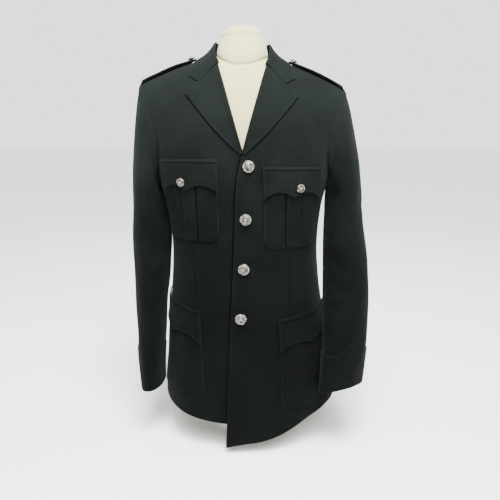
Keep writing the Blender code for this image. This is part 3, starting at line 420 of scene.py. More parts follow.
def turn_from_plan(across, depth):
    """Turn and level of the arch's point at this distance from the middle and this depth."""
    across, depth = np.broadcast_arrays(np.asarray(across, float), np.asarray(depth, float))
    height = ridge(across)
    for _ in range(14):
        half_width, front, back, square, _ = BODY_TRACK.columns(height)
        share = np.minimum(np.abs(across) / half_width, 1.0)
        reach = np.where(depth > 0, back, front) * (1 - share**square) ** (1 / square)
        level = np.arccos(np.clip(np.abs(depth) / np.maximum(reach, 1e-6), 0, 1)) / QUARTER
        height = arch_height(across, level)
    turn = np.sign(across) * np.arcsin(share ** (square / 2))
    return np.where(depth > 0, 2 * QUARTER - turn, turn), level


def across_at(turn, height):
    """Distance from the body's middle at a turn, negative past the middle."""
    half_width, _, _, square, _ = BODY_TRACK.columns(height)
    return np.sign(np.sin(turn)) * half_width * np.abs(np.sin(turn)) ** (2 / square)


def skin_normal(turn, level):
    step = 0.02
    upper = np.minimum(level + step / 2, 0.999)
    across = bare_skin(turn + step, level) - bare_skin(turn - step, level)
    along = bare_skin(turn, upper) - bare_skin(turn, upper - step)
    return unit(np.cross(across, along))


def line_folds(x, y, folds, scale):
    """Sum of folds that run along lines; each fades out across its width and towards its ends."""
    total = np.zeros(np.broadcast(x, y).shape)
    for start_x, start_y, end_x, end_y, depth, width in folds:
        away_x = ((x - start_x + 180.0) % 360.0 - 180.0) * scale
        away_y = y - start_y
        run_x, run_y = (end_x - start_x) * scale, end_y - start_y
        share = np.clip((away_x * run_x + away_y * run_y) / (run_x**2 + run_y**2), 0.0, 1.0)
        off = np.hypot(away_x - share * run_x, away_y - share * run_y) / width
        total += depth * np.sin(np.pi * share) ** 0.7 * np.exp(-off * off)
    return total


def unevenness(x, y):
    """Low swells that no pressed cloth is free of."""
    turn = np.radians(x)
    swell = np.sin(6 * turn + 1.3 * np.sin(y * 19.0)) * np.sin(y * 31.0 + 0.7 * np.sin(4 * turn))
    return 0.00045 * swell + 0.0003 * np.sin(13 * turn + y * 47.0)


def crease(turn, height):
    """How far the body's cloth stands out of its plain shape."""
    degrees = np.degrees(turn)
    return unevenness(degrees, height) - line_folds(degrees, height, BODY_CREASES, METRES_PER_DEGREE)


def skin(turn, level, out=0.0):
    turn, level = np.broadcast_arrays(np.asarray(turn, float), np.asarray(level, float))
    point = bare_skin(turn, level)
    rise = out + crease(turn, point[..., 2])
    return point + skin_normal(turn, level) * np.asarray(rise)[..., None]


def turn_from_front(across, height):
    """Turn of a point on the front at this distance from the body's middle."""
    half_width, _, _, square, _ = BODY_TRACK.columns(height)
    share = np.minimum(np.abs(across) / half_width, 1.0)
    return np.sign(across) * np.arcsin(share ** (square / 2))


def lap_lift(side, across, height):
    """The left front rides over the right one near the middle, below the roll line."""
    if side == RIGHT:
        return np.zeros(np.broadcast(across, height).shape)
    fade = 1 - ease((height - ROLL_START) / 0.09)
    return LAP_LIFT * (1 - ease((across - LAP_FULL) / (LAP_END - LAP_FULL))) * fade


def front_point(side, across, height, out=0.0):
    """Point on a front; across is measured from the body's middle to that side."""
    across, height = np.broadcast_arrays(np.asarray(across, float), np.asarray(height, float))
    turn, level = turn_from_front(across, height), arch_level(across, height)
    return skin(side * turn, level, out + lap_lift(side, across, height))


def front_normal(side, across, height):
    across, height = np.asarray(across, float), np.asarray(height, float)
    return skin_normal(side * turn_from_front(across, height), arch_level(across, height))


def roll_across(height):
    return ROLL_ACROSS + ROLL_SLOPE * (height - ROLL_START)


def inner_edge(side, height):
    """Distance of a front's free edge from the body's middle: front edge, then roll line."""
    shift = BODY_TRACK(height)[..., -1]
    edge = EDGE_TRACK(height)[..., 0] - shift
    if side == RIGHT:
        close = ease((ROLL_START - height) / 0.06)
        edge = mix(roll_across(ROLL_START), -(edge + UNDERLAP), close)
    return np.where(height >= ROLL_START, roll_across(height), edge)


def neck_edge(side, share):
    """Height and distance from the middle of a front's edge from the chest to the neck point."""
    part = np.maximum(share - GORGE_SHARE, 0.0) / (1 - GORGE_SHARE)
    low = mix(CHEST, GORGE_HEIGHT, np.minimum(share / GORGE_SHARE, 1.0))
    height = np.where(part > 0, mix(GORGE_HEIGHT, ridge(NECK_HALF), np.sin(part * QUARTER)), low)
    turned = mix(roll_across(GORGE_HEIGHT), NECK_HALF, ease(part))
    return height, np.where(part > 0, turned, inner_edge(side, low))


def front_path(side, row, s):
    """Turn and level along a row of a front; row is 0 at the hem, 1 at the chest, 2 at the top."""
    if row <= 1:
        hem = HEM_TRACKS[side]
        height = mix(hem(s)[..., 0], CHEST, row)
        start_height = mix(hem(0.0)[..., 0], CHEST, row)
        start = turn_from_front(inner_edge(side, start_height), start_height)
        return side * mix(start, QUARTER, s), height - CHEST
    end_turn, _, end_level = ARMHOLE_TRACK(row - 1)
    start_height, start_across = neck_edge(side, row - 1)
    start = turn_from_front(start_across, start_height)
    level = mix(arch_level(start_across, start_height), end_level, s)
    return side * mix(start, np.radians(end_turn), s), level


def back_path(row, s):
    """Turn and level along a row of the back, from the right side to the left side."""
    if row <= 1:
        height = mix(HEM_TRACKS["back"](s)[..., 0], CHEST, row)
        return mix(-QUARTER, -3 * QUARTER, s), height - CHEST
    _, end_turn, end_level = ARMHOLE_TRACK(row - 1)
    half = np.radians(end_turn)
    swing = mix(-half, half, s)
    centre = 1 - np.abs(2 * s - 1)
    level = mix(end_level, row - 1, ease(centre * 2))
    across = across_at(swing, level_height(swing, level))
    return 2 * QUARTER - swing, level * neckline_share(across)


def neckline_share(across):
    """How far up the arch the back reaches: less inside the neckline's oval."""
    inside = np.maximum(1 - (across / NECK_HALF) ** 2, 0.0)
    deepest = BODY_TRACK(RIDGE_TOP)[..., 2]
    return np.arccos(np.minimum(NECK_BACK * np.sqrt(inside) / deepest, 1.0)) / QUARTER


def panel_row(path, lift, count):
    """One row of a panel at equal distances, with the distances themselves."""
    dense = np.linspace(0.0, 1.0, 181)
    steps = np.linalg.norm(np.diff(bare_skin(*path(dense)), axis=0), axis=-1)
    reach = np.concatenate([[0.0], np.cumsum(steps)])
    wanted = np.linspace(0.0, reach[-1], count + 1)
    turn, level = path(np.interp(wanted, reach, dense))
    return skin(turn, level, lift(turn, level)), wanted


def panel_rows(path, lift, fine):
    """All rows of a panel from hem to shoulder, with cloth coordinates in metres."""
    count, lower, upper = fine
    shares = np.concatenate([np.linspace(0, 1, lower + 1), 1 + np.linspace(0, 1, upper + 1)[1:]])
    rows, places = [], []
    for share in shares:
        row, reach = panel_row(lambda s, at=share: path(at, s), lift, count)
        rows.append(row)
        places.append(reach)
    return np.array(rows), np.array(places)


def front_sheet(side):
    def lift(turn, level):
        height = level_height(turn, level)
        return lap_lift(side, across_at(side * turn, height), height)

    rows, places = panel_rows(lambda at, s: front_path(side, at, s), lift, FRONT_FINE)
    lower = FRONT_FINE[1]
    rows[: lower + 1, -1, 1] += SIDE_LAP
    rows[-1, :, 1] -= SEAM / 2
    return rows, places


def back_sheet():
    rows, places = panel_rows(back_path, lambda turn, level: 0.0, BACK_FINE)
    lower = BACK_FINE[1]
    rows[: lower + 1, 0, 1] -= SIDE_LAP
    rows[: lower + 1, -1, 1] -= SIDE_LAP
    rows[-1, :, 1] += SEAM / 2
    return rows, places


def lap_shade(rows):
    """Where the right front lies in the shade of the left one's edge."""
    height = rows[..., 2]
    beyond = EDGE_TRACK(height)[..., 0] - rows[..., 0]
    return np.where(height < ROLL_START, np.exp(-((beyond / 0.004) ** 2)), 0.0)


# Sleeves and cuffs


def armhole_edge(side, angle):
    """Point on the armhole; the angle is 0 at the shoulder, 90 at the front, 180 under the arm."""
    places = []
    for degrees in angle:
        share = abs(180.0 - degrees) / 180.0
        path = front_path(side, 1 + share, np.array(1.0)) if degrees <= 180.0 else None
        if path is None:
            path = back_path(1 + share, np.array(1.0 if side == LEFT else 0.0))
        places.append(path)
    turn, level = np.array(places, dtype=float).reshape(len(angle), 2).T
    return skin(turn, level)


def sleeve_drag(side, angle, height):
    folds = [(d.angle, d.height, d.to_angle, d.to_height, d.depth, d.width) for d in SLEEVE_DRAGS if d.side == side]
    swell = unevenness(angle * 0.6 + 40.0 * side, height * 1.3)
    return line_folds(angle, height, folds, 0.0009) - swell


def sleeve_point(side, angle, height, out=0.0):
    """Point on a sleeve; the angle runs from the outer side over the front to the inner side."""
    near_hem = 1 - ease((height - SLEEVE[side][-1].height) / SLANT_REACH)
    height = height + HEM_SLANT[side] * (1 + np.sin(np.radians(angle))) * near_hem
    mid_x, mid_y, half_x, half_y, turn = SLEEVE_TRACKS[side].columns(height)
    inward = out - sleeve_drag(side, angle, height)
    a, twist = np.radians(angle), np.radians(turn)
    x = (half_x + inward) * np.cos(a) * side
    y = -(half_y + inward) * np.sin(a)
    across = x * np.cos(twist) - y * np.sin(twist) + mid_x
    depth = x * np.sin(twist) + y * np.cos(twist) + mid_y + FORWARD
    return stacked(across, depth, height)


def sheet_normals(rows, closed):
    """Normals of a grid of points; a closed sheet joins its first and last columns."""
    if closed:
        ring = np.concatenate([rows[:, -2:-1], rows, rows[:, 1:2]], axis=1)
        across = ring[:, 2:] - ring[:, :-2]
    else:
        across = np.gradient(rows, axis=1)
    return unit(np.cross(across, np.gradient(rows, axis=0)))


def sleeve_sheet(side):
    """Rings of a sleeve from the cuff up to the armhole, with cloth coordinates in metres."""
    count, straight, cap = SLEEVE_FINE
    angle = np.linspace(0.0, 360.0, count + 1)
    table = SLEEVE[side]
    heights = mix(table[-1].height, table[0].height, np.linspace(0, 1, straight + 1))
    lower = sleeve_point(side, angle[None, :], heights[:, None])
    under = (1 - np.cos(np.radians(angle))) / 2
    leave = stacked(side * mix(CAP_PULL_TOP, CAP_PULL_UNDER, under), 0.0, -0.010)
    start = armhole_edge(side, angle) + unit(leave) * SEAM * 1.5
    end = lower[-1]
    drop = np.linalg.norm(start - end, axis=-1)
    land = stacked(0.0 * drop, 0.0 * drop, drop)
    t = (1 - np.linspace(0, 1, cap + 1)[1:])[:, None, None]
    upper = start + (end - start) * t * t * (3 - 2 * t) + leave * 3 * t * (1 - t) ** 2 + land * t * t * (1 - t)
    facing = sheet_normals(upper, True)
    if (facing[:, 0, 0] * side).mean() < 0:
        facing = -facing
    near = np.linalg.norm(upper - start, axis=-1)
    head = 0.0016 * np.exp(-(((near - 0.009) / 0.006) ** 2))
    pucker = 0.00055 * np.sin(np.radians(angle) * 21.0) * np.exp(-near / 0.014)
    sink = sleeve_drag(side, angle[None, :], upper[..., 2]) * ease(near / 0.03)
    fade = ease(near / 0.004)
    upper = upper + facing * ((head + pucker) * fade - sink * ease((upper[..., 2:3] - table[0].height) / 0.02)[..., 0])[..., None]
    rows = np.concatenate([lower, upper])
    around = np.linalg.norm(np.diff(rows, axis=1), axis=-1).mean()
    places = np.broadcast_to(np.arange(count + 1) * around, rows.shape[:2])
    return rows, places


def cuff_top(side, angle):
    """Height of a cuff's upper edge above the sleeve's end: level, rising to a point."""
    turn = np.abs((angle - CUFF_POINT_ANGLE[side] + 180.0) % 360.0 - 180.0)
    return CUFF_HEIGHT + CUFF_POINT * np.maximum(1 - turn / CUFF_POINT_REACH, 0.0)


def cuff_point(side, angle, share, out=AIR):
    return sleeve_point(side, angle, SLEEVE[side][-1].height + cuff_top(side, angle) * share, out)


def cuff_sheet(side):
    angle = np.linspace(0.0, 360.0, 97)[None, :]
    share = np.linspace(0.0, 1.0, 25)[:, None]
    hug = 1 - 0.3 * ease((share - 0.9) / 0.1)
    rows = cuff_point(side, angle, share, AIR * hug)
    around = np.linalg.norm(np.diff(rows, axis=1), axis=-1).mean()
    return rows, np.broadcast_to(np.arange(97) * around, rows.shape[:2])


# Pieces laid on the fronts


class PatchMap:
    """Finds places on a front by how much cloth lies between them and a patch's inner edge."""

    def __init__(self, patch):
        self.patch = patch
        self.heights = np.linspace(patch.top - patch.depth - 0.02, patch.top + 0.05, 60)
        self.shares = np.linspace(-0.02, 1.02, 53)
        self.table = np.array([self.measure(height) for height in self.heights])

    def measure(self, height):
        widest = BODY_TRACK(height)[..., 0] * 0.9995
        across = np.linspace(self.patch.inner - 0.02, widest, 140)
        points = front_point(self.patch.side, across, height)
        steps = np.linalg.norm(np.diff(points, axis=0), axis=-1)
        reach = np.concatenate([[0.0], np.cumsum(steps)])
        reach -= np.interp(self.patch.inner, across, reach)
        return np.interp(self.shares * self.patch.width, reach, across)

    def point(self, u, height, out):
        u, height = np.broadcast_arrays(u, height)
        row = np.clip((height - self.heights[0]) / (self.heights[1] - self.heights[0]), 0, 58.999)
        column = np.clip((u - self.shares[0]) / (self.shares[1] - self.shares[0]), 0, 51.999)
        r, c = row.astype(int), column.astype(int)
        fr, fc = row - r, column - c
        lower = mix(self.table[r, c], self.table[r, c + 1], fc)
        upper = mix(self.table[r + 1, c], self.table[r + 1, c + 1], fc)
        return front_point(self.patch.side, mix(lower, upper, fr), height, out)


def corner_cut(patch, v):
    """How far a pocket's side comes in near its round lower corners."""
    left = np.minimum((1 - v) * patch.depth, patch.corner)
    return patch.corner - np.sqrt(patch.corner**2 - (patch.corner - left) ** 2)


def pocket_sheet(spread, pleated):
    """Patch pocket, sewn down at its edges, with a box pleat that stands on it."""
    patch = spread.patch
    v = (1 - (1 - np.linspace(0, 1, 58)) ** 1.25)[::-1, None]
    u = np.linspace(0, 1, 61)
    if pleated:
        edge = 0.5 + np.array([-1, 1])[:, None] * (PLEAT_HALF + np.linspace(-2, 2, 7) * PLEAT_EDGE / 2) / patch.width
        u = np.sort(np.concatenate([u, edge.ravel()]))
    u = u[None, :]
    inset = corner_cut(patch, v) / patch.width
    share = mix(inset, 1 - inset, u)
    rim = np.minimum(np.minimum(u, 1 - u) * patch.width, (1 - v) * patch.depth)
    out = mix(0.0005, POCKET_AIR, ease(rim / 0.006)) + 0.0 * share
    # Painted shade: a dark line just inside the pocket's sewn edges.
    fold = 0.7 * np.exp(-(((rim - 0.0030) / 0.0010) ** 2)) + 0.0 * share
    if pleated:
        off = np.abs(u - 0.5) * patch.width - PLEAT_HALF
        out = out + PLEAT_LIFT * (1 - ease(off / PLEAT_EDGE + 0.5)) * ease(rim / 0.006)
        inner = np.where(u < 0.5, 1.0, 0.40)
        groove = inner * np.exp(-(((off - 0.0018) / 0.0013) ** 2))
        out = out - 0.0008 * groove * ease(rim / 0.006)
        # Painted shade along the pleat's folded edges, strongest on the side towards the tunic's middle.
        fold = np.maximum(fold, inner * np.exp(-(((off - 0.0018) / 0.0023) ** 2)))
    height = patch.top - v * patch.depth
    rows = spread.point(share, height + 0.0 * share, out)
    return rows, np.broadcast_to(u * patch.width, rows.shape[:2]), fold


def scallop_depth(patch, u):
    """Lower edge of a flap: two arcs between three points, the middle one a little shorter."""
    wave = np.abs(np.sin(2 * np.pi * u)) ** 0.75
    return patch.depth - SCALLOP * wave - POINT_SHORT * (1 - np.abs(2 * u - 1))


def flap_point(spread, u, depth, over, lift=0.0):
    """Point on a flap this far below its seam; it clears the pocket's mouth below the seam."""
    out = mix(AIR, over, ease(depth / FLAP_STEP)) + lift
    patch = spread.patch
    return spread.point(u, patch.top + patch.slant * patch.width * u - depth, out)


def flap_curl(u, share):
    """How far a flap's free edge stands off, most at its points."""
    return ease((share - 0.6) / 0.4) * (0.0009 + 0.0013 * np.abs(np.cos(2 * np.pi * u)))


def flap_sheet(spread, over):
    patch = spread.patch
    u = np.linspace(0, 1, 85)[None, :]
    v = np.linspace(0, 1, 34)[::-1, None]
    depth = scallop_depth(patch, u) * v
    # Painted shade: a dark line across the flap a little below its seam.
    fold = np.exp(-(((depth - 0.0072) / 0.0013) ** 2))
    return flap_point(spread, u, depth, over, flap_curl(u, v)), np.broadcast_to(u * patch.width, depth.shape), fold


def lapel_corners(u, share):
    """Place on a lapel: u from the roll line outward, share from its foot up to the gorge."""
    outer = Track([(k / 3, *c) for k, c in enumerate((LAPEL_FOOT, LAPEL_TURN, LAPEL_BELLY, LAPEL_POINT))])
    height = mix(LAPEL_FOOT.height, GORGE_TOP.height, share)
    inner_across = roll_across(height) + 0.0004
    outer_across, outer_height = outer.columns(share)
    plain_across, plain_height = mix(inner_across, outer_across, u), mix(height, outer_height, u)
    top = np.array((GORGE_TOP, GORGE_MIDDLE, NOTCH_INNER, LAPEL_POINT))
    stops = np.linspace(0, 1, 4)
    cut_across = np.interp(u, stops, top[:, 0]) + 0.0 * share
    cut_height = np.interp(u, stops, top[:, 1]) - COLLAR_GAP + 0.0 * share
    blend = share**4
    return mix(plain_across, cut_across, blend), mix(plain_height, cut_height, blend)


def lapel_sheet(side):
    """Lapel from its foot up to the gorge; its first columns wrap the front's edge as a soft roll."""
    share = np.linspace(0, 1, 64)[:, None]
    u = np.concatenate([[0.0, 0.0, 0.0, 0.0], np.linspace(0.0, 1.0, 41)[1:]])[None, :]
    across, height = lapel_corners(u, share)
    roll = np.zeros(u.shape[1])
    out = np.full(u.shape[1], AIR)
    for column, (aside, lift) in enumerate(((-0.0004, -0.0022), (-0.0012, -0.0014), (-0.0013, -0.0004), (-0.0008, 0.0003))):
        roll[column], out[column] = aside, lift
    spring = 0.0022 * np.exp(-((u / 0.10) ** 2)) * ease(share / 0.15) * (1 - ease((share - 0.9) / 0.1))
    spring = spring * (u > 0)
    tip = u**3 * (0.0012 * ease((share - 0.5) / 0.5) + 0.0022 * ease(share / 0.2) * (1 - 0.5 * share))
    rows = front_point(side, across + roll, height, out + spring + tip)
    return rows, np.broadcast_to(u * 0.11, rows.shape[:2])


# Collar and epaulettes


def over_shoulder(side, across, depth, lift):
    """A place in plan carried up to the shoulder's surface and lifted above it."""
    turn, level = turn_from_plan(side * across, depth)
    return skin(turn, level, COLLAR_AIR) + stacked(0.0 * lift, 0.0 * lift, lift)


def collar_end(side):
    """The collar's front end: its roll line, then along the gorge and out to the collar's point."""
    places = []
    for corner, lift in zip((GORGE_TOP, GORGE_MIDDLE, NOTCH_INNER, COLLAR_POINT), (END_LIFT, 0, 0, 0)):
        turn, level = side * turn_from_front(*corner), arch_level(*corner)
        point = bare_skin(turn, level)
        shift = BODY_TRACK(corner.height)[..., -1]
        places.append((side * (point[0] - shift), point[1] - FORWARD, lift))
    return np.array(places)


def collar_foot(side, angle):
    """Foot of the stand, just inside the neck edge of the back and the fronts."""
    if angle <= 90.0:
        swing = math.radians(angle)
        across, depth = (NECK_HALF - NECK_CLEAR) * math.sin(swing), (NECK_BACK - NECK_CLEAR) * math.cos(swing)
        return skin(*turn_from_plan(side * across, max(depth, 1e-6)))
    part = (COLLAR_END - angle) / (COLLAR_END - 90.0)
    height, across = neck_edge(side, mix(GORGE_SHARE, 1.0, part))
    return front_point(side, across - NECK_CLEAR, height)


def collar_rib(side, angle):
    """Points across the collar at an angle from the middle of the back."""
    rib = Rib(angle, *COLLAR_TRACK(angle))
    places = []
    for ply in FALL:
        across = mix(rib.fold_across, rib.edge_across, ply.way)
        depth = mix(rib.fold_depth, rib.edge_depth, ply.way)
        places.append((across, depth, rib.fold_lift * ply.lift))
    share = ease((angle - 90.0) / (COLLAR_END - 90.0))
    across, depth, lift = mix(np.array(places), collar_end(side), share).T
    points = over_shoulder(side, across, depth, lift)
    foot = collar_foot(side, angle)
    return np.concatenate([[foot, mix(foot, points[0], STAND_SHARE)], points])


def along(points, count):
    """The same line with evenly spaced points."""
    reach = np.concatenate([[0.0], np.cumsum(np.linalg.norm(np.diff(points, axis=0), axis=-1))])
    wanted = np.linspace(0, reach[-1], count)
    return np.stack([np.interp(wanted, reach, column) for column in points.T], axis=-1)


def soften(rows, times, axis):
    """Average neighbours along one way of a grid, its edges kept."""
    rows = np.moveaxis(rows, axis, 0).copy()
    for _ in range(times):
        rows[1:-1] = rows[1:-1] * 0.5 + (rows[:-2] + rows[2:]) * 0.25
    return np.moveaxis(rows, 0, axis)


def collar_sheet():
    """Collar round the neck from the right end to the left: stand, roll line and fall."""
    swings = np.linspace(-COLLAR_END, COLLAR_END, 121)
    ribs = [collar_rib(LEFT if swing >= 0 else RIGHT, abs(swing)) for swing in swings]
    lines = []
    for rib in ribs:
        stand = along(rib[:3], 11)
        fall = along(rib[2:], 30)
        lines.append(np.concatenate([stand, fall[1:]]))
    rows = np.array(lines)
    crisp = ease((np.abs(swings) - 132.0) / 16.0)[:, None, None]
    rows = mix(soften(rows, 6, 1), rows, crisp)
    rows = mix(soften(rows, 4, 0), rows, crisp)
    around = np.concatenate([[0.0], np.cumsum(np.linalg.norm(np.diff(rows[:, -1], axis=0), axis=-1))])
    return rows, np.broadcast_to(np.arange(rows.shape[1]) * 0.00245, rows.shape[:2]), around


def strap_arch(across):
    """How far an epaulette stands off the shoulder between its sewn end and its button."""
    return 0.0042 * np.sin(np.clip((STRAP_OUTER - across) / (STRAP_OUTER - STRAP_BUTTON), 0, 1.25) * 0.8 * math.pi)


def strap_point(side, along_share, k, lift=0.0):
    """Point on an epaulette; k runs from -1 at its front edge to 1 at its back edge."""
    across = mix(STRAP_OUTER, STRAP_INNER, along_share)
    half = mix(STRAP_HALF_OUTER, STRAP_HALF_INNER, along_share)
    left = across - STRAP_INNER
    half = half * mix(0.30, 1.0, np.clip(left / STRAP_POINT, 0, 1))
    depth = STRAP_DEPTH + half * k
    turn, level = turn_from_plan(side * across, depth)
    return skin(turn, level, AIR + lift + strap_arch(across))


def strap_sheet(side):
    shares = np.sort(np.concatenate([np.linspace(0, 1, 56), [1 - STRAP_POINT / (STRAP_OUTER - STRAP_INNER)]]))
    k = np.linspace(-1, 1, 19)[None, :]
    rows = strap_point(side, shares[:, None], k, 0.0008 * (1 - k * k))
    return rows, np.broadcast_to(k * 0.022, rows.shape[:2])


# Finishes


class Value:
    """A shader value that Python's operators turn into Math nodes."""

    def __init__(self, paint, node, output=0):
        self.paint, self.node, self.socket = paint, node, node.outputs[output]

    def other(self, output):
        return Value(self.paint, self.node, output)

    def math(self, operation, *others):
        return self.paint.node("ShaderNodeMath", {"operation": operation}, dict(enumerate((self, *others))))

    def __add__(self, other):
        return self.math("ADD", other)

    def __sub__(self, other):
        return self.math("SUBTRACT", other)

    def __rsub__(self, other):
        return self.paint.node("ShaderNodeMath", {"operation": "SUBTRACT"}, {0: other, 1: self})

    def __mul__(self, other):
        return self.math("MULTIPLY", other)

    def __truediv__(self, other):
        return self.math("DIVIDE", other)

    def __rtruediv__(self, other):
        return self.paint.node("ShaderNodeMath", {"operation": "DIVIDE"}, {0: other, 1: self})

    def __pow__(self, other):
        return self.math("POWER", other)

    __radd__ = __add__
    __rmul__ = __mul__

    def sine(self):
        return self.math("SINE")

    def size(self):
        return self.math("ABSOLUTE")

    def rise(self, low, high):
        """0 below low, 1 above high, smooth between."""
        sockets = {"Value": self, "From Min": low, "From Max": high}
        return self.paint.node("ShaderNodeMapRange", {"interpolation_type": "SMOOTHSTEP"}, sockets)


class Paint:
    """The nodes of one material; every node comes from its one method."""

    def __init__(self, name):
        self.material = bpy.data.materials.new(name)
        self.material.use_nodes = True
        self.tree = self.material.node_tree
        self.tree.nodes.clear()

    def node(self, kind, settings=None, sockets=None, output=0):
        node = self.tree.nodes.new(kind)
        for key, value in (settings or {}).items():
            setattr(node, key, value)
        for key, value in (sockets or {}).items():
            if isinstance(value, Value):
                self.tree.links.new(value.socket, node.inputs[key])
            else:
                node.inputs[key].default_value = value
        return Value(self, node, output)

    def place(self, what="Object"):
        return self.node("ShaderNodeTexCoord").other(what)

    def cloth_place(self):
        """The cloth's own two coordinates in metres, across and up."""
        spot = self.node("ShaderNodeUVMap", {"uv_map": "Cloth"})
        apart = self.node("ShaderNodeSeparateXYZ", None, {"Vector": spot})
        return apart, apart.other(1)

    def noise(self, scale, detail=2.0, stretch=None, roughness=0.5):
        spot = self.place()
        if stretch:
            spot = self.node("ShaderNodeMapping", None, {"Vector": spot, "Scale": stretch})
        sockets = {"Vector": spot, "Scale": scale, "Detail": detail, "Roughness": roughness}
        return self.node("ShaderNodeTexNoise", None, sockets)

    def blend(self, share, start, end):
        sockets = {0: share, 6: start, 7: end}
        return self.node("ShaderNodeMix", {"data_type": "RGBA"}, sockets, 2)

    def bump(self, height, distance, strength=1.0):
        return self.node("ShaderNodeBump", None, {"Height": height, "Distance": distance, "Strength": strength})

    def finish(self, **sockets):
        """The surface itself; a name's underscores stand for the spaces of its socket."""
        named = {key.replace("_", " "): value for key, value in sockets.items()}
        shader = self.node("ShaderNodeBsdfPrincipled", None, named)
        self.node_out = self.tree.nodes.new("ShaderNodeOutputMaterial")
        self.tree.links.new(shader.socket, self.node_out.inputs["Surface"])
        return self.material


def full(colour, factor=1.0):
    return (*(min(channel * factor, 1.0) for channel in colour[:3]), 1.0)


def dart_mask(paint, dart):
    """A narrow pressed line on a front, sloping a little, that fades out at its two ends; the wool's finish sinks its
    bump and darkens it as painted shade.
    """
    spot = paint.node("ShaderNodeSeparateXYZ", None, {"Vector": paint.place()})
    height = spot.other(2)
    off = (spot - (height - dart.low) * dart.slope - dart.across).size()
    return (1.0 - off.rise(0.0002, DART_WIDTH)) * height.rise(dart.low - 0.01, dart.low) * (
        1.0 - height.rise(dart.high - 0.02, dart.high))


def wool_finish(name, colour, pitch, painted_shade_factor=1.0, dart=None):
    """Fine wool twill: diagonal ribs, short pile, slow random changes of tone, paler turned edges that are partly wear
    and partly a painted highlight, painted light from above and painted shade in grooves and dart lines.
    """
    paint = Paint(name)
    pressed = dart_mask(paint, dart) if dart else 0.0
    # Painted light: the wool is lighter towards the shoulders and darker towards the hem, for the light that falls from
    # above.
    painted_light_from_above = paint.node("ShaderNodeSeparateXYZ", None, {"Vector": paint.place()}).other(2).rise(0.22, 0.86) - 0.45
    across, up = paint.cloth_place()
    rib = ((across + up * 1.35) * (2 * math.pi / pitch)).sine()
    cross = ((across * -1.0 + up * 0.55) * (2 * math.pi / (pitch * 0.83))).sine()
    pile = paint.noise(1500.0, 3.0)
    slub = paint.noise(420.0, 2.0, (1.0, 1.0, 0.22))
    shade = paint.noise(9.0, 3.0)
    edge = paint.node("ShaderNodeAttribute", {"attribute_name": "edge_distance"}).other("Fac")
    # Painted shade: the attribute read here marks the pleat grooves, lines by the pocket and flap edges and the strip
    # beside the left front's edge.
    fold = paint.node("ShaderNodeAttribute", {"attribute_name": "fold"}).other("Fac")
    # Paler free edges: partly edge wear, partly a painted highlight along every edge.
    edge_wear_and_highlight = (1.0 - edge.rise(0.0002, 0.0015)) * (0.45 + paint.noise(70.0, 2.0) * 0.8)
    tone = 0.30 + rib * 0.07 + (pile - 0.5) * 0.9 + (slub - 0.5) * 0.5 + (shade - 0.5) * 0.7
    tone = tone + edge_wear_and_highlight * 0.55 + painted_light_from_above * 0.52
    # Painted shade: those marks and the dart and back-seam lines darken the wool to near black.
    painted_shade_share = (fold + pressed).rise(0.0, 1.0) * 0.92
    # For the epaulettes the factor here darkens a whole copy of the wool: painted shade on the straps.
    base = paint.blend(tone.rise(0.0, 1.0), full(colour, 0.55 * painted_shade_factor), full(colour, 2.3 * painted_shade_factor))
    base = paint.blend(painted_shade_share, base, full(colour, 0.03))
    height = rib * 0.55 + cross * 0.22 + pile * 0.9 + slub * 0.5 - pressed * 9.0
    return paint.finish(
        Base_Color=base,
        Roughness=0.78 + (pile - 0.5) * 0.3,
        Specular_IOR_Level=0.015,
        Sheen_Weight=0.035,
        Sheen_Roughness=0.45,
        Sheen_Tint=(0.58, 0.68, 0.64, 1.0),
        Normal=paint.bump(height, 0.00012, 0.75),
    )


def lining_finish():
    """Black satin lining with a faint cross rib."""
    paint = Paint("tunic_lining")
    across, up = paint.cloth_place()
    rib = (up * (2 * math.pi / 0.0011)).sine() * 0.6 + (across * (2 * math.pi / 0.0016)).sine() * 0.2
    shade = paint.noise(30.0, 3.0)
    base = paint.blend(shade, (0.008, 0.009, 0.010, 1.0), (0.020, 0.021, 0.024, 1.0))
    return paint.finish(
        Base_Color=base,
        Roughness=0.40 + (shade - 0.5) * 0.15,
        Sheen_Weight=0.1,
        Normal=paint.bump(rib, 0.00005, 0.5),
    )


def thread_finish(colour):
    paint = Paint("sewing_thread")
    strand = paint.noise(2600.0, 2.0)
    base = paint.blend(strand, full(colour, 0.8), full(colour, 1.7))
    return paint.finish(
        Base_Color=base,
        Roughness=0.62 + (strand - 0.5) * 0.2,
        Specular_IOR_Level=0.08,
        Sheen_Weight=0.06,
        Normal=paint.bump(strand, 0.0001, 0.6),
    )


def button_finish(colour):
    """Silver plate, bright on what stands out, dull grey with tarnish in its hollows and painted shade on its rolled
    rim.
    """
    paint = Paint("button_silver")
    tarnish_and_rim_shade = paint.node("ShaderNodeAttribute", {"attribute_name": "tarnish_and_rim_shade"}).other("Fac")
    film = paint.noise(420.0, 4.0)
    scratch = paint.noise(900.0, 2.0, (1.0, 0.15, 1.0))
    tarnish = paint.noise(190.0, 2.0).rise(0.50, 0.68)
    dull = (tarnish_and_rim_shade * 0.75 + tarnish * 0.45 + (film - 0.5) * 0.5).rise(0.05, 0.95)
    base = paint.blend(dull, full(colour, 0.95), full(colour, 0.03))
    return paint.finish(
        Base_Color=base,
        Metallic=1.0 - dull * 0.35,
        Roughness=0.20 + dull * 0.26 + (scratch - 0.5) * 0.12,
        Normal=paint.bump(film * 0.6 + scratch * 0.4, 0.00004, 0.6),
    )


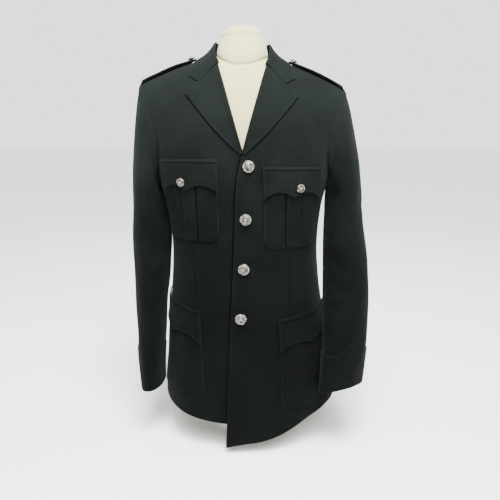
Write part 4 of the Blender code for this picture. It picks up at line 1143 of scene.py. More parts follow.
def jersey_finish(colour):
    """Cotton jersey stretched over the form: fine knitted wales, a little fuzz and soft shading."""
    paint = Paint("form_jersey")
    across, up = paint.cloth_place()
    wale = (across * (2 * math.pi / 0.00125)).sine()
    course = (up * (2 * math.pi / 0.0010) + wale * 0.9).sine()
    fuzz = paint.noise(1300.0, 3.0)
    soil = paint.noise(11.0, 4.0)
    tone = 0.55 + wale * 0.10 + course * 0.06 + (fuzz - 0.5) * 0.55 + (soil - 0.5) * 0.6
    base = paint.blend(tone.rise(0.0, 1.0), full(colour, 0.90), full(colour, 1.05))
    return paint.finish(
        Base_Color=base,
        Roughness=0.82 + (fuzz - 0.5) * 0.2,
        Specular_IOR_Level=0.25,
        Sheen_Weight=0.25,
        Sheen_Roughness=0.5,
        Normal=paint.bump(wale * 0.6 + course * 0.5 + fuzz * 0.8, 0.00012, 0.7),
    )


def enamel_finish(colour):
    """Off-white enamel with a slight orange peel, rubbed at the rim."""
    paint = Paint("stand_enamel")
    peel = paint.noise(260.0, 2.0)
    grime = paint.noise(18.0, 5.0)
    edge = paint.node("ShaderNodeAttribute", {"attribute_name": "edge_distance"}).other("Fac")
    rubbed = (1.0 - edge.rise(0.0004, 0.0030)) * paint.noise(55.0, 3.0).rise(0.52, 0.66)
    clean = paint.blend(grime.rise(0.35, 0.8), full(colour), full(colour, 0.86))
    base = paint.blend(rubbed, clean, (0.30, 0.29, 0.28, 1.0))
    return paint.finish(
        Base_Color=base,
        Roughness=0.27 + grime * 0.14 + rubbed * 0.2,
        Metallic=rubbed * 0.7,
        Coat_Weight=0.35 - rubbed * 0.35,
        Coat_Roughness=0.12,
        Normal=paint.bump(peel, 0.00008, 0.35),
    )


def steel_finish(colour):
    """Satin steel, brushed up and down."""
    paint = Paint("stand_steel")
    brushed = paint.noise(900.0, 3.0, (1.0, 1.0, 0.02))
    smear = paint.noise(24.0, 4.0)
    base = paint.blend(brushed * 0.7 + smear * 0.3, full(colour, 0.78), full(colour, 1.0))
    return paint.finish(
        Base_Color=base,
        Metallic=1.0,
        Roughness=0.24 + brushed * 0.16 + smear * 0.08,
        Normal=paint.bump(brushed, 0.00003, 0.5),
    )


def floor_finish(colour):
    paint = Paint("studio_floor")
    cloud = paint.noise(1.6, 3.0)
    base = paint.blend(cloud, full(colour, 0.97), full(colour, 1.02))
    return paint.finish(Base_Color=base, Roughness=0.85, Specular_IOR_Level=0.2)


# Meshes


def border_distance(rows, closed):
    """How far each point of a grid lies from the sheet's nearest free edge."""
    up = np.concatenate([np.zeros((1, rows.shape[1])), np.cumsum(np.linalg.norm(np.diff(rows, axis=0), axis=-1), axis=0)])
    nearest = np.minimum(up, up[-1:] - up)
    if not closed:
        side = np.cumsum(np.linalg.norm(np.diff(rows, axis=1), axis=-1), axis=1)
        side = np.concatenate([np.zeros((rows.shape[0], 1)), side], axis=1)
        nearest = np.minimum(nearest, np.minimum(side, side[:, -1:] - side))
    return nearest


def upward(rows):
    """Cloth length up the middle of a grid, for each of its rows."""
    middle = rows[:, rows.shape[1] // 2]
    reach = np.concatenate([[0.0], np.cumsum(np.linalg.norm(np.diff(middle, axis=0), axis=-1))])
    return np.broadcast_to(reach[:, None], rows.shape[:2])


def corner_values(grid):
    return np.stack([grid[:-1, :-1], grid[:-1, 1:], grid[1:, 1:], grid[1:, :-1]], axis=2)


def grid_mesh(name, rows, across, closed=False, outside=None, up=None, fold=None):
    """A mesh over a grid of points that faces outside, with the cloth's coordinates as its UV map."""
    high, wide = rows.shape[:2]
    columns = wide - 1 if closed else wide
    index = np.arange(high * columns).reshape(high, columns)
    if closed:
        index = np.concatenate([index, index[:, :1]], axis=1)
    corners = corner_values(index).reshape(-1, 4)
    spots = corner_values(stacked(across, upward(rows) if up is None else up)).reshape(-1, 4, 2)
    quads = corner_values(rows).reshape(-1, 4, 3)
    normals = np.cross(quads[:, 2] - quads[:, 0], quads[:, 3] - quads[:, 1])
    if (normals * outside(quads.mean(axis=1))).sum() < 0:
        corners, spots = corners[:, ::-1], spots[:, ::-1]
    mesh = bpy.data.meshes.new(name)
    mesh.from_pydata(rows[:, :columns].reshape(-1, 3).tolist(), [], corners.tolist())
    mesh.uv_layers.new(name="Cloth").data.foreach_set("uv", spots.ravel())
    # A sheet's painted shade, if given, goes into a point attribute that its finish darkens by.
    if fold is not None:
        mesh.attributes.new("fold", "FLOAT", "POINT").data.foreach_set("value", fold[:, :columns].ravel())
    edge = mesh.attributes.new("edge_distance", "FLOAT", "POINT")
    edge.data.foreach_set("value", border_distance(rows, closed)[:, :columns].ravel())
    return mesh


def away_from(x, y, z=None):
    """Directions that lead away from an upright line, or from a point where z is given."""
    def directions(centres):
        middle = np.array([x, y, 0.0 if z is None else z])
        off = centres - middle
        if z is None:
            off[:, 2] = 0.0
        return off
    return directions


def link(name, mesh):
    thing = bpy.data.objects.new(name, mesh)
    bpy.context.scene.collection.objects.link(thing)
    return thing


def settle(thing, sharp=42.0):
    """Put the result of an object's modifiers into its mesh and set its smooth shading."""
    evaluated = thing.evaluated_get(bpy.context.evaluated_depsgraph_get())
    mesh = bpy.data.meshes.new_from_object(evaluated)
    thing.modifiers.clear()
    old, thing.data = thing.data, mesh
    bpy.data.meshes.remove(old)
    mesh.name = thing.name
    mesh.shade_smooth()
    mesh.set_sharp_from_angle(angle=math.radians(sharp))
    return thing


def cloth_piece(name, mesh, materials, wall=WALL, outward=False, edge=0.00045):
    """Give a sheet its wall and soft edges; a second material goes on its inner side."""
    thing = link(name, mesh)
    for material in materials:
        mesh.materials.append(material)
    solid = thing.modifiers.new("Wall", "SOLIDIFY")
    solid.thickness = wall
    solid.offset = 1.0 if outward else -1.0
    solid.material_offset = 1 if len(materials) > 1 else 0
    bevel = thing.modifiers.new("Edges", "BEVEL")
    bevel.width = edge
    bevel.segments = 2
    bevel.angle_limit = math.radians(62.0)
    bevel.harden_normals = False
    return settle(thing)


def belong(thing, slot, *nodes):
    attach(thing, BODY_NAME)
    if nodes:
        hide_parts(*nodes)


# Sewing and buttons, made by node trees


class Growth:
    """A geometry node tree with named inputs; every node comes from its one method."""

    def __init__(self, name, inputs):
        self.tree = bpy.data.node_groups.new(name, "GeometryNodeTree")
        self.tree.interface.new_socket("Geometry", in_out="INPUT", socket_type="NodeSocketGeometry")
        for label, kind in inputs:
            self.tree.interface.new_socket(label, in_out="INPUT", socket_type="NodeSocket" + kind)
        self.tree.interface.new_socket("Geometry", in_out="OUTPUT", socket_type="NodeSocketGeometry")
        self.given = self.tree.nodes.new("NodeGroupInput")
        self.result = self.tree.nodes.new("NodeGroupOutput")

    def take(self, label):
        return self.given.outputs[label]

    def node(self, kind, settings=None, sockets=None, output=0):
        node = self.tree.nodes.new(kind)
        for key, value in (settings or {}).items():
            setattr(node, key, value)
        for key, value in (sockets or {}).items():
            for one in value if isinstance(value, list) else [value]:
                if isinstance(one, bpy.types.NodeSocket):
                    self.tree.links.new(one, node.inputs[key])
                else:
                    node.inputs[key].default_value = one
        return node.outputs[output]

    def vector(self, x, y, z):
        return self.node("ShaderNodeCombineXYZ", None, {0: x, 1: y, 2: z})

    def times(self, one, other):
        return self.node("ShaderNodeMath", {"operation": "MULTIPLY"}, {0: one, 1: other})

    def end(self, geometry):
        """Real geometry in the chosen material."""
        real = self.node("GeometryNodeRealizeInstances", None, {"Geometry": geometry})
        painted = self.node("GeometryNodeSetMaterial", None, {"Geometry": real, "Material": self.take("Material")})
        self.tree.links.new(painted, self.result.inputs["Geometry"])
        return self.tree


def grow(thing, tree, values):
    """Run a tree on an object with these inputs and keep the result as its plain mesh."""
    modifier = thing.modifiers.new("Growth", "NODES")
    modifier.node_group = tree
    sockets = {item.name: item.identifier for item in tree.interface.items_tree if item.in_out == "INPUT"}
    for label, value in values.items():
        modifier[sockets[label]] = value
    return settle(thing, 50.0)


def stitch_tree():
    """Stitches at even steps along paths; each lies the way the path's points say."""
    inputs = [("Pitch", "Float"), ("Length", "Float"), ("Thickness", "Float"), ("Unevenness", "Float")]
    growth = Growth("Stitches", inputs + [("Seed", "Int"), ("Material", "Material")])
    curve = growth.node("GeometryNodeMeshToCurve", None, {"Mesh": growth.take("Geometry")})
    steps = {"Curve": curve, "Length": growth.take("Pitch")}
    points = growth.node("GeometryNodeCurveToPoints", {"mode": "LENGTH"}, steps)
    lie = growth.node("GeometryNodeInputNamedAttribute", {"data_type": "FLOAT_VECTOR"}, {"Name": "lie"})
    turn = growth.node("FunctionNodeAlignRotationToVector", {"axis": "X"}, {"Vector": lie})
    swing = growth.node("FunctionNodeRandomValue", {"data_type": "FLOAT"}, {
        2: growth.times(growth.take("Unevenness"), -1.0), 3: growth.take("Unevenness"), "Seed": growth.take("Seed"),
    }, 1)
    slant = growth.node("FunctionNodeEulerToRotation", None, {0: growth.vector(0.0, 0.0, swing)})
    tilt = growth.node("FunctionNodeRotateRotation", {"rotation_space": "LOCAL"}, {"Rotation": turn, "Rotate By": slant})
    bead = growth.node("GeometryNodeMeshUVSphere", None, {"Segments": 6, "Rings": 5, "Radius": 0.5})
    size = growth.vector(growth.take("Length"), growth.take("Thickness"), growth.take("Thickness"))
    sockets = {"Points": points, "Instance": bead, "Rotation": tilt, "Scale": size}
    return growth.end(growth.node("GeometryNodeInstanceOnPoints", None, sockets))


def relief_tree():
    """A button's relief: a ring of beads by the rim, petals round the dome and a middle bead."""
    inputs = [("Beads", "Int"), ("Bead Size", "Float"), ("Bead Ring", "Float"), ("Bead Height", "Float")]
    inputs += [("Petals", "Int"), ("Petal Length", "Float"), ("Petal Width", "Float"), ("Petal Ring", "Float")]
    inputs += [("Petal Height", "Float"), ("Middle Size", "Float"), ("Middle Height", "Float"), ("Material", "Material")]
    growth = Growth("Button relief", inputs)

    def ring(count, radius, height, shape, scale, turned):
        circle = growth.node("GeometryNodeMeshCircle", None, {"Vertices": count, "Radius": radius})
        lift = growth.vector(0.0, 0.0, height)
        raised = growth.node("GeometryNodeSetPosition", None, {"Geometry": circle, "Offset": lift})
        sockets = {"Points": raised, "Instance": shape, "Scale": scale}
        if turned:
            place = growth.node("GeometryNodeInputPosition")
            flat = growth.node("ShaderNodeVectorMath", {"operation": "MULTIPLY"}, {0: place, 1: (1.0, 1.0, 0.0)})
            sockets["Rotation"] = growth.node("FunctionNodeAlignRotationToVector", {"axis": "X"}, {"Vector": flat})
        return growth.node("GeometryNodeInstanceOnPoints", None, sockets)

    ball = growth.node("GeometryNodeMeshUVSphere", None, {"Segments": 10, "Rings": 6, "Radius": 0.5})
    leaf = growth.node("GeometryNodeMeshUVSphere", None, {"Segments": 12, "Rings": 8, "Radius": 0.5})
    bead = growth.take("Bead Size")
    beads = ring(growth.take("Beads"), growth.take("Bead Ring"), growth.take("Bead Height"), ball, growth.vector(bead, bead, bead), False)
    length, width = growth.take("Petal Length"), growth.take("Petal Width")
    petal = growth.vector(length, width, growth.times(width, 0.55))
    petals = ring(growth.take("Petals"), growth.take("Petal Ring"), growth.take("Petal Height"), leaf, petal, True)
    middle = growth.take("Middle Size")
    knob_size = growth.vector(middle, middle, growth.times(middle, 0.6))
    knob_place = growth.vector(0.0, 0.0, growth.take("Middle Height"))
    knob = growth.node("GeometryNodeTransform", None, {"Geometry": leaf, "Translation": knob_place, "Scale": knob_size})
    parts = [growth.take("Geometry"), beads, petals, knob]
    return growth.end(growth.node("GeometryNodeJoinGeometry", None, {"Geometry": parts}))


def tree_named(name, make):
    return bpy.data.node_groups.get(name) or make()


Stitching = namedtuple("Stitching", "points lie")


def path_object(name, paths):
    """Paths as loose edges whose points carry the way a stitch lies there."""
    points = np.concatenate([path.points for path in paths])
    lie = np.concatenate([path.lie for path in paths])
    edges, first = [], 0
    for path in paths:
        count = len(path.points)
        edges += [(first + k, first + k + 1) for k in range(count - 1)]
        first += count
    mesh = bpy.data.meshes.new(name)
    mesh.from_pydata(points.tolist(), edges, [])
    mesh.attributes.new("lie", "FLOAT_VECTOR", "POINT").data.foreach_set("vector", unit(lie).ravel())
    return link(name, mesh)


def seam_line(points):
    """A path whose stitches lie along it."""
    return Stitching(points, np.gradient(points, axis=0))


def sew(name, paths, settings, pitch=None, length=None, seed=1):
    thing = path_object(name, paths)
    values = {
        "Pitch": pitch or settings.pitch,
        "Length": length or settings.length,
        "Thickness": settings.thickness,
        "Unevenness": settings.unevenness,
        "Seed": seed,
        "Material": bpy.data.materials["sewing_thread"],
    }
    grow(thing, tree_named("Stitches", stitch_tree), values)
    belong(thing, "wool")
    return thing


def buttonhole(spot, run, rise, length, half_width):
    """Close stitches round a slit; run and rise are directions in the cloth at the spot."""
    angle = np.linspace(0, 2 * np.pi, 41)
    x = (length / 2 - half_width) * np.clip(np.cos(angle) * 2.2, -1, 1) + half_width * np.cos(angle)
    y = half_width * np.sin(angle)
    points = spot + run * x[:, None] + rise * y[:, None]
    centre = np.clip(x, -(length / 2 - half_width), length / 2 - half_width)
    lie = run * (x - centre)[:, None] + rise * y[:, None]
    return Stitching(points, lie + rise * 1e-7)


def lathe(name, profile, steps):
    """A profile turned about the vertical, with the distance along the profile from its two ends."""
    profile = np.array(profile)
    angle = np.linspace(0, 2 * np.pi, steps + 1)
    x = profile[:, 0][:, None] * np.cos(angle)
    y = profile[:, 0][:, None] * np.sin(angle)
    rows = stacked(x, y, profile[:, 1][:, None] + 0.0 * x)
    mesh = grid_mesh(name, rows, np.broadcast_to(angle * profile[:, 0].max(), x.shape), True, lambda c: np.zeros(c.shape))
    return weld(mesh)


def button_body(kind):
    """Half section of a button: dome, sunk ring, rolled rim, back and shank."""
    base = kind.shank + kind.back
    inner = kind.radius * 0.80
    angle = np.linspace(0, 1, 13) * QUARTER * 0.93
    dome = [(inner * math.sin(a) / math.sin(angle[-1]), base + kind.dome * math.cos(a)) for a in angle]
    ring = [(kind.radius * 0.86, base + 0.0002), (kind.radius * 0.91, base + 0.0003)]
    rim_angle = np.linspace(0.9, -0.6, 9) * math.pi
    rim_size = kind.radius * 0.05
    rim = [(kind.radius * 0.95 + rim_size * math.cos(a), base + rim_size * math.sin(a)) for a in rim_angle]
    back = [(kind.radius * 0.60, kind.shank), (SHANK_RADIUS, kind.shank), (SHANK_RADIUS, 0.0), (0.0, 0.0)]
    return dome + ring + rim + back


def mark_tarnish_and_rim_shade(mesh, kind):
    """Where a button is dull: tarnish in the low places between its relief, strongest in the sunk ring, and painted
    shade on its rolled rim.
    """
    base = kind.shank + kind.back
    places = np.empty(len(mesh.vertices) * 3)
    mesh.vertices.foreach_get("co", places)
    places = places.reshape(-1, 3)
    reach = np.hypot(places[:, 0], places[:, 1]) / kind.radius
    inner = np.clip(reach / 0.80, 0, 0.999)
    dome = base + kind.dome * np.cos(np.arcsin(inner * math.sin(QUARTER * 0.93)))
    proud = places[:, 2] - np.where(reach < 0.8, dome, base + 0.0003)
    # Past 0.90 of the radius the rolled rim is darkened too: painted shade, not tarnish.
    tarnish_and_rim_shade = np.maximum(np.clip(1 - proud / 0.0005, 0, 1) * (reach < 0.93), 0.9 * np.clip((reach - 0.90) / 0.06, 0, 1))
    mesh.attributes.new("tarnish_and_rim_shade", "FLOAT", "POINT").data.foreach_set("value", tarnish_and_rim_shade)


def place_in_mesh(mesh, point, normal):
    """Stand a mesh made at the origin on a point, its own up along the normal."""
    turn = Vector(normal).to_track_quat("Z", "Y").to_matrix().to_4x4()
    mesh.transform(Matrix.Translation(Vector(point)) @ turn)


def make_button(node, kind, point, normal, settings):
    name = "tunic_" + node
    thing = link(name, lathe(name, button_body(kind), 48))
    size, base = kind.radius, kind.shank + kind.back
    values = {
        "Beads": settings.beads,
        "Bead Size": size * 0.105,
        "Bead Ring": size * 0.865,
        "Bead Height": base + 0.0003,
        "Petals": settings.petals,
        "Petal Length": size * 0.34,
        "Petal Width": size * 0.17,
        "Petal Ring": size * 0.43,
        "Petal Height": base + kind.dome * 0.72,
        "Middle Size": size * 0.30,
        "Middle Height": base + kind.dome * 0.97,
        "Material": bpy.data.materials["button_silver"],
    }
    grow(thing, tree_named("Button relief", relief_tree), values)
    mark_tarnish_and_rim_shade(thing.data, kind)
    place_in_mesh(thing.data, point, normal)
    belong(thing, "button_metal", node)


# Dress form


RIDGE_STOPS = (0.146, 0.112, 0.080)
FORM_COLUMNS = 20
NECK_FIRST, NECK_LAST = 5, 15
FORM_FINE = (64, 30, 30)


def plate_across(height):
    """The form is cut off flat below the shoulders, but not round the waist and hips."""
    return mix(0.30, PLATE, ease((height - 0.50) / 0.10))


def form_point(turn, level):
    """Point on the form: the body's shape, a little smaller, with flat plates at the armholes."""
    height = level_height(turn, level)
    half_width, front, back, square, shift = BODY_TRACK.columns(height)
    inset = INSET_TRACK(height)[..., 0]
    power = 2 / square
    across = np.minimum((half_width - inset) * np.abs(np.sin(turn)) ** power, plate_across(height))
    high = np.sin(np.clip(level, 0, 1) * QUARTER) ** (2 / ARCH_RISE)
    height = np.where(level > 0, mix(CHEST, ridge(across) - inset * 1.1, high), height)
    y = np.where(np.cos(turn) >= 0, inset - front, back - inset) * np.abs(np.cos(turn)) ** power
    arch = np.maximum(np.cos(np.clip(level, 0, 1) * QUARTER), 0.0) ** (2 / ARCH_DEPTH)
    return sway(np.sign(np.sin(turn)) * across, y * arch, height, shift)


def form_top(column, back):
    """Turn and level where a column of the form ends: plate, shoulder ridge or neck."""
    from_end = np.minimum(column, FORM_COLUMNS - column)
    across = np.interp(from_end, (1, 2, 3, 4, NECK_FIRST), (PLATE, *RIDGE_STOPS, NECK_X))
    shoulder = turn_from_front(across, ridge(across))
    shoulder = mix(QUARTER, shoulder, np.minimum(from_end, 1.0)) * np.sign(column - FORM_COLUMNS / 2 + 1e-9)
    angle = math.pi * np.clip((column - NECK_FIRST) / (NECK_LAST - NECK_FIRST), 0, 1)
    drop = 0.0 if back else SEAM_DROP * np.sin(angle) ** 0.7 * (1 + 0.2 * np.cos(angle))
    depth = (NECK_Y + (NECK_CENTRE if back else -NECK_CENTRE)) * np.sin(angle) + drop
    turn, level = turn_from_plan(-NECK_X * np.cos(angle), depth if back else -depth)
    turn = np.where(turn > QUARTER, 2 * QUARTER - turn, turn)
    on_neck = from_end > NECK_FIRST
    return np.where(on_neck, turn, shoulder), np.where(on_neck, level, 1.0)


def form_half(back):
    columns, lower, upper = FORM_FINE
    column = np.linspace(0, FORM_COLUMNS, columns * 2 + 1)[None, :]
    low = mix(-QUARTER, QUARTER, column / FORM_COLUMNS)
    end, top = form_top(column, back)
    rise = np.linspace(FORM_BOTTOM - CHEST, 0, lower)[:, None]
    share = np.linspace(0, 1, upper + 1)[1:, None]
    turn = np.concatenate([low + 0.0 * rise, mix(low, end, share)])
    level = np.concatenate([rise + 0.0 * low, top * share])
    return form_point(2 * QUARTER - turn if back else turn, level)


def ring_from_halves(front, back):
    """Front and back half grids joined to a closed grid, its first column repeated at the end."""
    return np.concatenate([front, back[:, ::-1][:, 1:-1], front[:, :1]], axis=1)


def reach_round(ring):
    steps = np.linalg.norm(np.diff(ring, axis=0), axis=-1)
    return np.concatenate([[0.0], np.cumsum(steps)])


def torso_rows():
    """Torso all round, with its flat underside and the end of the neck hole closed."""
    rows = ring_from_halves(form_half(False), form_half(True))
    foot = rows[0].mean(axis=0)
    under = [mix(foot, rows[0], share) for share in (0.0, 0.35, 0.7, 0.97)]
    return np.concatenate([np.array(under), rows])


def neck_seam():
    """Seam between the form's torso and neck, all round."""
    step = FORM_FINE[0] * 2 // FORM_COLUMNS
    columns = np.linspace(0, FORM_COLUMNS, FORM_FINE[0] * 2 + 1)
    on_neck = (columns >= NECK_FIRST) & (columns <= NECK_LAST)
    front, back = form_half(False)[-1][on_neck], form_half(True)[-1][on_neck]
    ring = np.concatenate([front, back[::-1][1:-1]])
    return np.concatenate([ring, ring[:1]])


def gathers(angle, reach):
    """The cover's small gathers round the middle of the dome, drawn in by a thread."""
    fade = np.exp(-((reach / 0.011) ** 2)) * (1 - np.exp(-((reach / 0.0015) ** 2)))
    pleats = 0.00055 * np.cos(19 * angle + 0.8 * np.sin(3 * angle)) * fade
    return pleats - 0.0020 * np.exp(-((reach / 0.0032) ** 2))


def neck_rows():
    """Neck from its seam up a slight waist to a low dome with the cover's gathers."""
    ring = neck_seam()
    shift = BODY_TRACK(NECK_TOP)[..., -1]
    middle = np.array([shift, NECK_LEAN + FORWARD, 0.0])
    angle = np.arctan2(ring[:, 1] - middle[1], ring[:, 0] - middle[0])
    top = middle + stacked(NECK_TOP_X * np.cos(angle), NECK_TOP_Y * np.sin(angle), NECK_TOP)
    rows = []
    front = np.clip(0.3 - np.sin(angle), 0.0, 1.0)[:, None] * (1.0, 1.0, 0.0)
    for share in np.linspace(0, 1, 22):
        bulge = 0.055 * math.sin(math.pi * share**0.6) * front
        row = mix(ring, top, share**1.15) + (ring - middle) * bulge
        row[:, 2] = mix(ring[:, 2], NECK_TOP, share) + TOUCH
        rows.append(row)
    brim = rows[-1]
    for step in np.linspace(0, 1, 40)[1:]:
        swing = step * QUARTER
        row = mix(middle, brim, math.cos(swing) ** 0.72)
        reach = np.linalg.norm(row[:, :2] - middle[:2], axis=-1)
        row[:, 2] = brim[:, 2] + DOME * math.sin(swing) + gathers(angle, reach)
        rows.append(row)
    return np.array(rows), angle


def base_profile():
    edge = [(BASE_RADIUS - BASE_ROUND * (1 - math.sin(a)), BASE_THICK - BASE_ROUND * (1 - math.cos(a)))
            for a in np.linspace(0, QUARTER, 7)]
    return [(0.0, BASE_THICK), (BASE_RADIUS * 0.5, BASE_THICK)] + edge + [(BASE_RADIUS, 0.0008), (BASE_RADIUS - 0.0008, 0.0), (0.0, 0.0)]


def column_profile():
    top, bottom = FORM_BOTTOM - TOUCH, BASE_THICK + TOUCH
    neck = top - FLANGE_THICK
    cone = [(mix(FLANGE_RADIUS, COLUMN_RADIUS, 1 - (1 - t) ** 2.2), neck - FLANGE_THICK * t) for t in np.linspace(0, 1, 6)]
    socket = bottom + SOCKET_HEIGHT
    collar = [(COLUMN_RADIUS + 0.0012, socket), (SOCKET_RADIUS - 0.003, socket * 0.97), (SOCKET_RADIUS, socket * 0.84)]
    return [(0.0, top), (FLANGE_RADIUS - 0.0006, top), (FLANGE_RADIUS, top - 0.0006)] + cone + [
        (COLUMN_RADIUS, socket + 0.0004)] + collar + [(SOCKET_RADIUS, bottom), (0.0, bottom)]


def mark_rim(mesh, radius, height):
    """Distance of each point from a round edge, for the wear there."""
    places = np.empty(len(mesh.vertices) * 3)
    mesh.vertices.foreach_get("co", places)
    places = places.reshape(-1, 3)
    reach = np.hypot(np.hypot(places[:, 0], places[:, 1]) - radius, places[:, 2] - height)
    mesh.attributes["edge_distance"].data.foreach_set("value", reach)


def turned_piece(node, profile, material, slot, rim=None):
    name = "dress_" + node
    mesh = lathe(name, profile, 96)
    if rim:
        mark_rim(mesh, *rim)
    mesh.materials.append(material)
    thing = settle(link(name, mesh), 35.0)
    belong(thing, slot, node)


def weld(mesh, close=False):
    """Join doubled points, close what is open if asked, and face everything outward."""
    bm = bmesh.new()
    bm.from_mesh(mesh)
    bmesh.ops.remove_doubles(bm, verts=bm.verts, dist=0.00002)
    if close:
        edges = [edge for edge in bm.edges if edge.is_boundary]
        bmesh.ops.holes_fill(bm, edges=edges, sides=0)
    bmesh.ops.recalc_face_normals(bm, faces=bm.faces)
    bm.to_mesh(mesh)
    bm.free()
    return mesh


# Sizes and colours that a user may change


class TunicCloth(bpy.types.PropertyGroup):
    wool: FloatVectorProperty(
        name="Wool", description="Colour of the tunic's wool", default=(0.0036, 0.0047, 0.0043),
        subtype="COLOR", size=3, min=0.0, max=1.0)
    # Painted shade: the epaulettes are a darker copy of the wool, for the shade at and under the straps.
    strap_painted_shade: FloatProperty(
        name="Strap shade", description="How light the epaulettes are next to the wool",
        default=0.40, subtype="FACTOR", min=0.0, max=2.0)
    twill: FloatProperty(
        name="Twill pitch", description="Distance between two ribs of the twill",
        default=0.0011, unit="LENGTH", min=0.0003, max=0.01, precision=5)


class TunicSewing(bpy.types.PropertyGroup):
    colour: FloatVectorProperty(
        name="Thread", description="Colour of the thread", default=(0.0028, 0.0038, 0.0035),
        subtype="COLOR", size=3, min=0.0, max=1.0)
    pitch: FloatProperty(
        name="Stitch pitch", description="Distance from one stitch to the next",
        default=0.0030, unit="LENGTH", min=0.001, max=0.02, precision=5)
    length: FloatProperty(
        name="Stitch length", description="Length of one stitch",
        default=0.0026, unit="LENGTH", min=0.0005, max=0.02, precision=5)
    thickness: FloatProperty(
        name="Thread thickness", description="Thickness of the thread",
        default=0.00045, unit="LENGTH", min=0.0001, max=0.003, precision=5)
    unevenness: FloatProperty(
        name="Unevenness", description="Largest turn of a stitch off its line",
        default=0.07, subtype="ANGLE", min=0.0, max=0.6)


class TunicButtons(bpy.types.PropertyGroup):
    metal: FloatVectorProperty(
        name="Metal", description="Colour of the buttons' plating", default=(0.80, 0.755, 0.66),
        subtype="COLOR", size=3, min=0.0, max=1.0)
    beads: IntProperty(name="Beads", description="Beads round a button's rim", default=30, min=6, max=60)
    petals: IntProperty(name="Petals", description="Petals round a button's middle", default=8, min=3, max=16)


class TunicForm(bpy.types.PropertyGroup):
    jersey: FloatVectorProperty(
        name="Jersey", description="Colour of the form's cover", default=(0.48, 0.445, 0.225),
        subtype="COLOR", size=3, min=0.0, max=1.0)
    enamel: FloatVectorProperty(
        name="Enamel", description="Colour of the stand's base", default=(0.86, 0.86, 0.84),
        subtype="COLOR", size=3, min=0.0, max=1.0)
    steel: FloatVectorProperty(
        name="Steel", description="Colour of the stand's column", default=(0.72, 0.70, 0.66),
        subtype="COLOR", size=3, min=0.0, max=1.0)


class TunicStage(bpy.types.PropertyGroup):
    floor: FloatVectorProperty(
        name="Floor", description="Colour of the floor", default=(0.97, 0.97, 0.965),
        subtype="COLOR", size=3, min=0.0, max=1.0)
    key: FloatProperty(
        name="Key light", description="Power of the lamp above the chest", default=138.0, unit="POWER", min=0.0)
    fill: FloatProperty(
        name="Fill light", description="Power of each lamp at the sides and back", default=14.0, unit="POWER", min=0.0)
    high: FloatProperty(
        name="High light", description="Strength of the wide soft light from above", default=5.0, min=0.0)
    sky: FloatProperty(name="Ambient", description="Strength of the light from all round", default=0.70, min=0.0)
    backdrop: FloatProperty(name="Backdrop", description="Brightness of the backdrop", default=2.15, min=0.0)


GROUPS = {
    "tunic_cloth": TunicCloth,
    "tunic_sewing": TunicSewing,
    "tunic_buttons": TunicButtons,
    "tunic_form": TunicForm,
    "tunic_stage": TunicStage,
}


# Operators, one for each group of pieces


# The columns of a cloth piece's flat cut: width and length in metres, area in square metres
Cut = namedtuple("Cut", "width length area")


def wool():
    return bpy.data.materials["tunic_wool"]


def lining():
    return bpy.data.materials["tunic_lining"]


class TunicOperator(bpy.types.Operator):
    """Build one group of the tunic's pieces"""
    bl_options = {"REGISTER", "UNDO"}

    def execute(self, context):
        self.build(context.scene)
        return {"FINISHED"}


class TUNIC_OT_finishes(TunicOperator):
    """Make the wool, lining, thread, metal, jersey and enamel"""
    bl_idname = "tunic.finishes"
    bl_label = "Finishes"

    def build(self, scene):
        cloth, form = scene.tunic_cloth, scene.tunic_form
        wool_finish("tunic_wool", cloth.wool, cloth.twill)
        # The epaulettes get a darker copy of the wool: painted shade.
        wool_finish("epaulette_wool_painted_shade", cloth.wool, cloth.twill, cloth.strap_painted_shade)
        for side, name in SIDES.items():
            wool_finish(f"front_wool_{name}", cloth.wool, cloth.twill, dart=FRONT_DARTS[side])
        wool_finish("back_wool", cloth.wool, cloth.twill, dart=BACK_SEAM)
        lining_finish()
        thread_finish(scene.tunic_sewing.colour)
        button_finish(scene.tunic_buttons.metal)
        jersey_finish(form.jersey)
        enamel_finish(form.enamel)
        steel_finish(form.steel)


class TUNIC_OT_panels(TunicOperator):
    """Cut the two fronts and the back, lined, with their creases"""
    bl_idname = "tunic.panels"
    bl_label = "Fronts and back"

    def build(self, scene):
        for side, name in SIDES.items():
            rows, places = front_sheet(side)
            # The right front gets painted shade beside the left front's edge.
            fold = lap_shade(rows) if side == RIGHT else None
            mesh = grid_mesh(f"tunic_front_{name}", rows, places, outside=away_from(0.0, 0.0), fold=fold)
            thing = cloth_piece(mesh.name, mesh, [bpy.data.materials[f"front_wool_{name}"], lining()])
            belong(thing, "wool", f"front_{name}")
        rows, places = back_sheet()
        mesh = grid_mesh("tunic_back", rows, places, outside=away_from(0.0, -0.03))
        thing = cloth_piece(mesh.name, mesh, [bpy.data.materials["back_wool"], lining()])
        belong(thing, "wool", "back")


class TUNIC_OT_sleeves(TunicOperator):
    """Cut the sleeves and their pointed cuffs"""
    bl_idname = "tunic.sleeves"
    bl_label = "Sleeves and cuffs"

    def build(self, scene):
        for side, name in SIDES.items():
            rows, places = sleeve_sheet(side)
            middle = rows.reshape(-1, 3).mean(axis=0)
            outside = away_from(middle[0], middle[1])
            mesh = grid_mesh(f"tunic_sleeve_{name}", rows, places, True, outside)
            thing = cloth_piece(mesh.name, mesh, [wool(), lining()])
            belong(thing, "wool", f"sleeve_{name}")
            rows, places = cuff_sheet(side)
            middle = rows.reshape(-1, 3).mean(axis=0)
            mesh = grid_mesh(f"tunic_cuff_{name}", rows, places, True, away_from(middle[0], middle[1]))
            thing = cloth_piece(mesh.name, mesh, [wool()], outward=True)
            belong(thing, "wool", f"cuff_{name}")


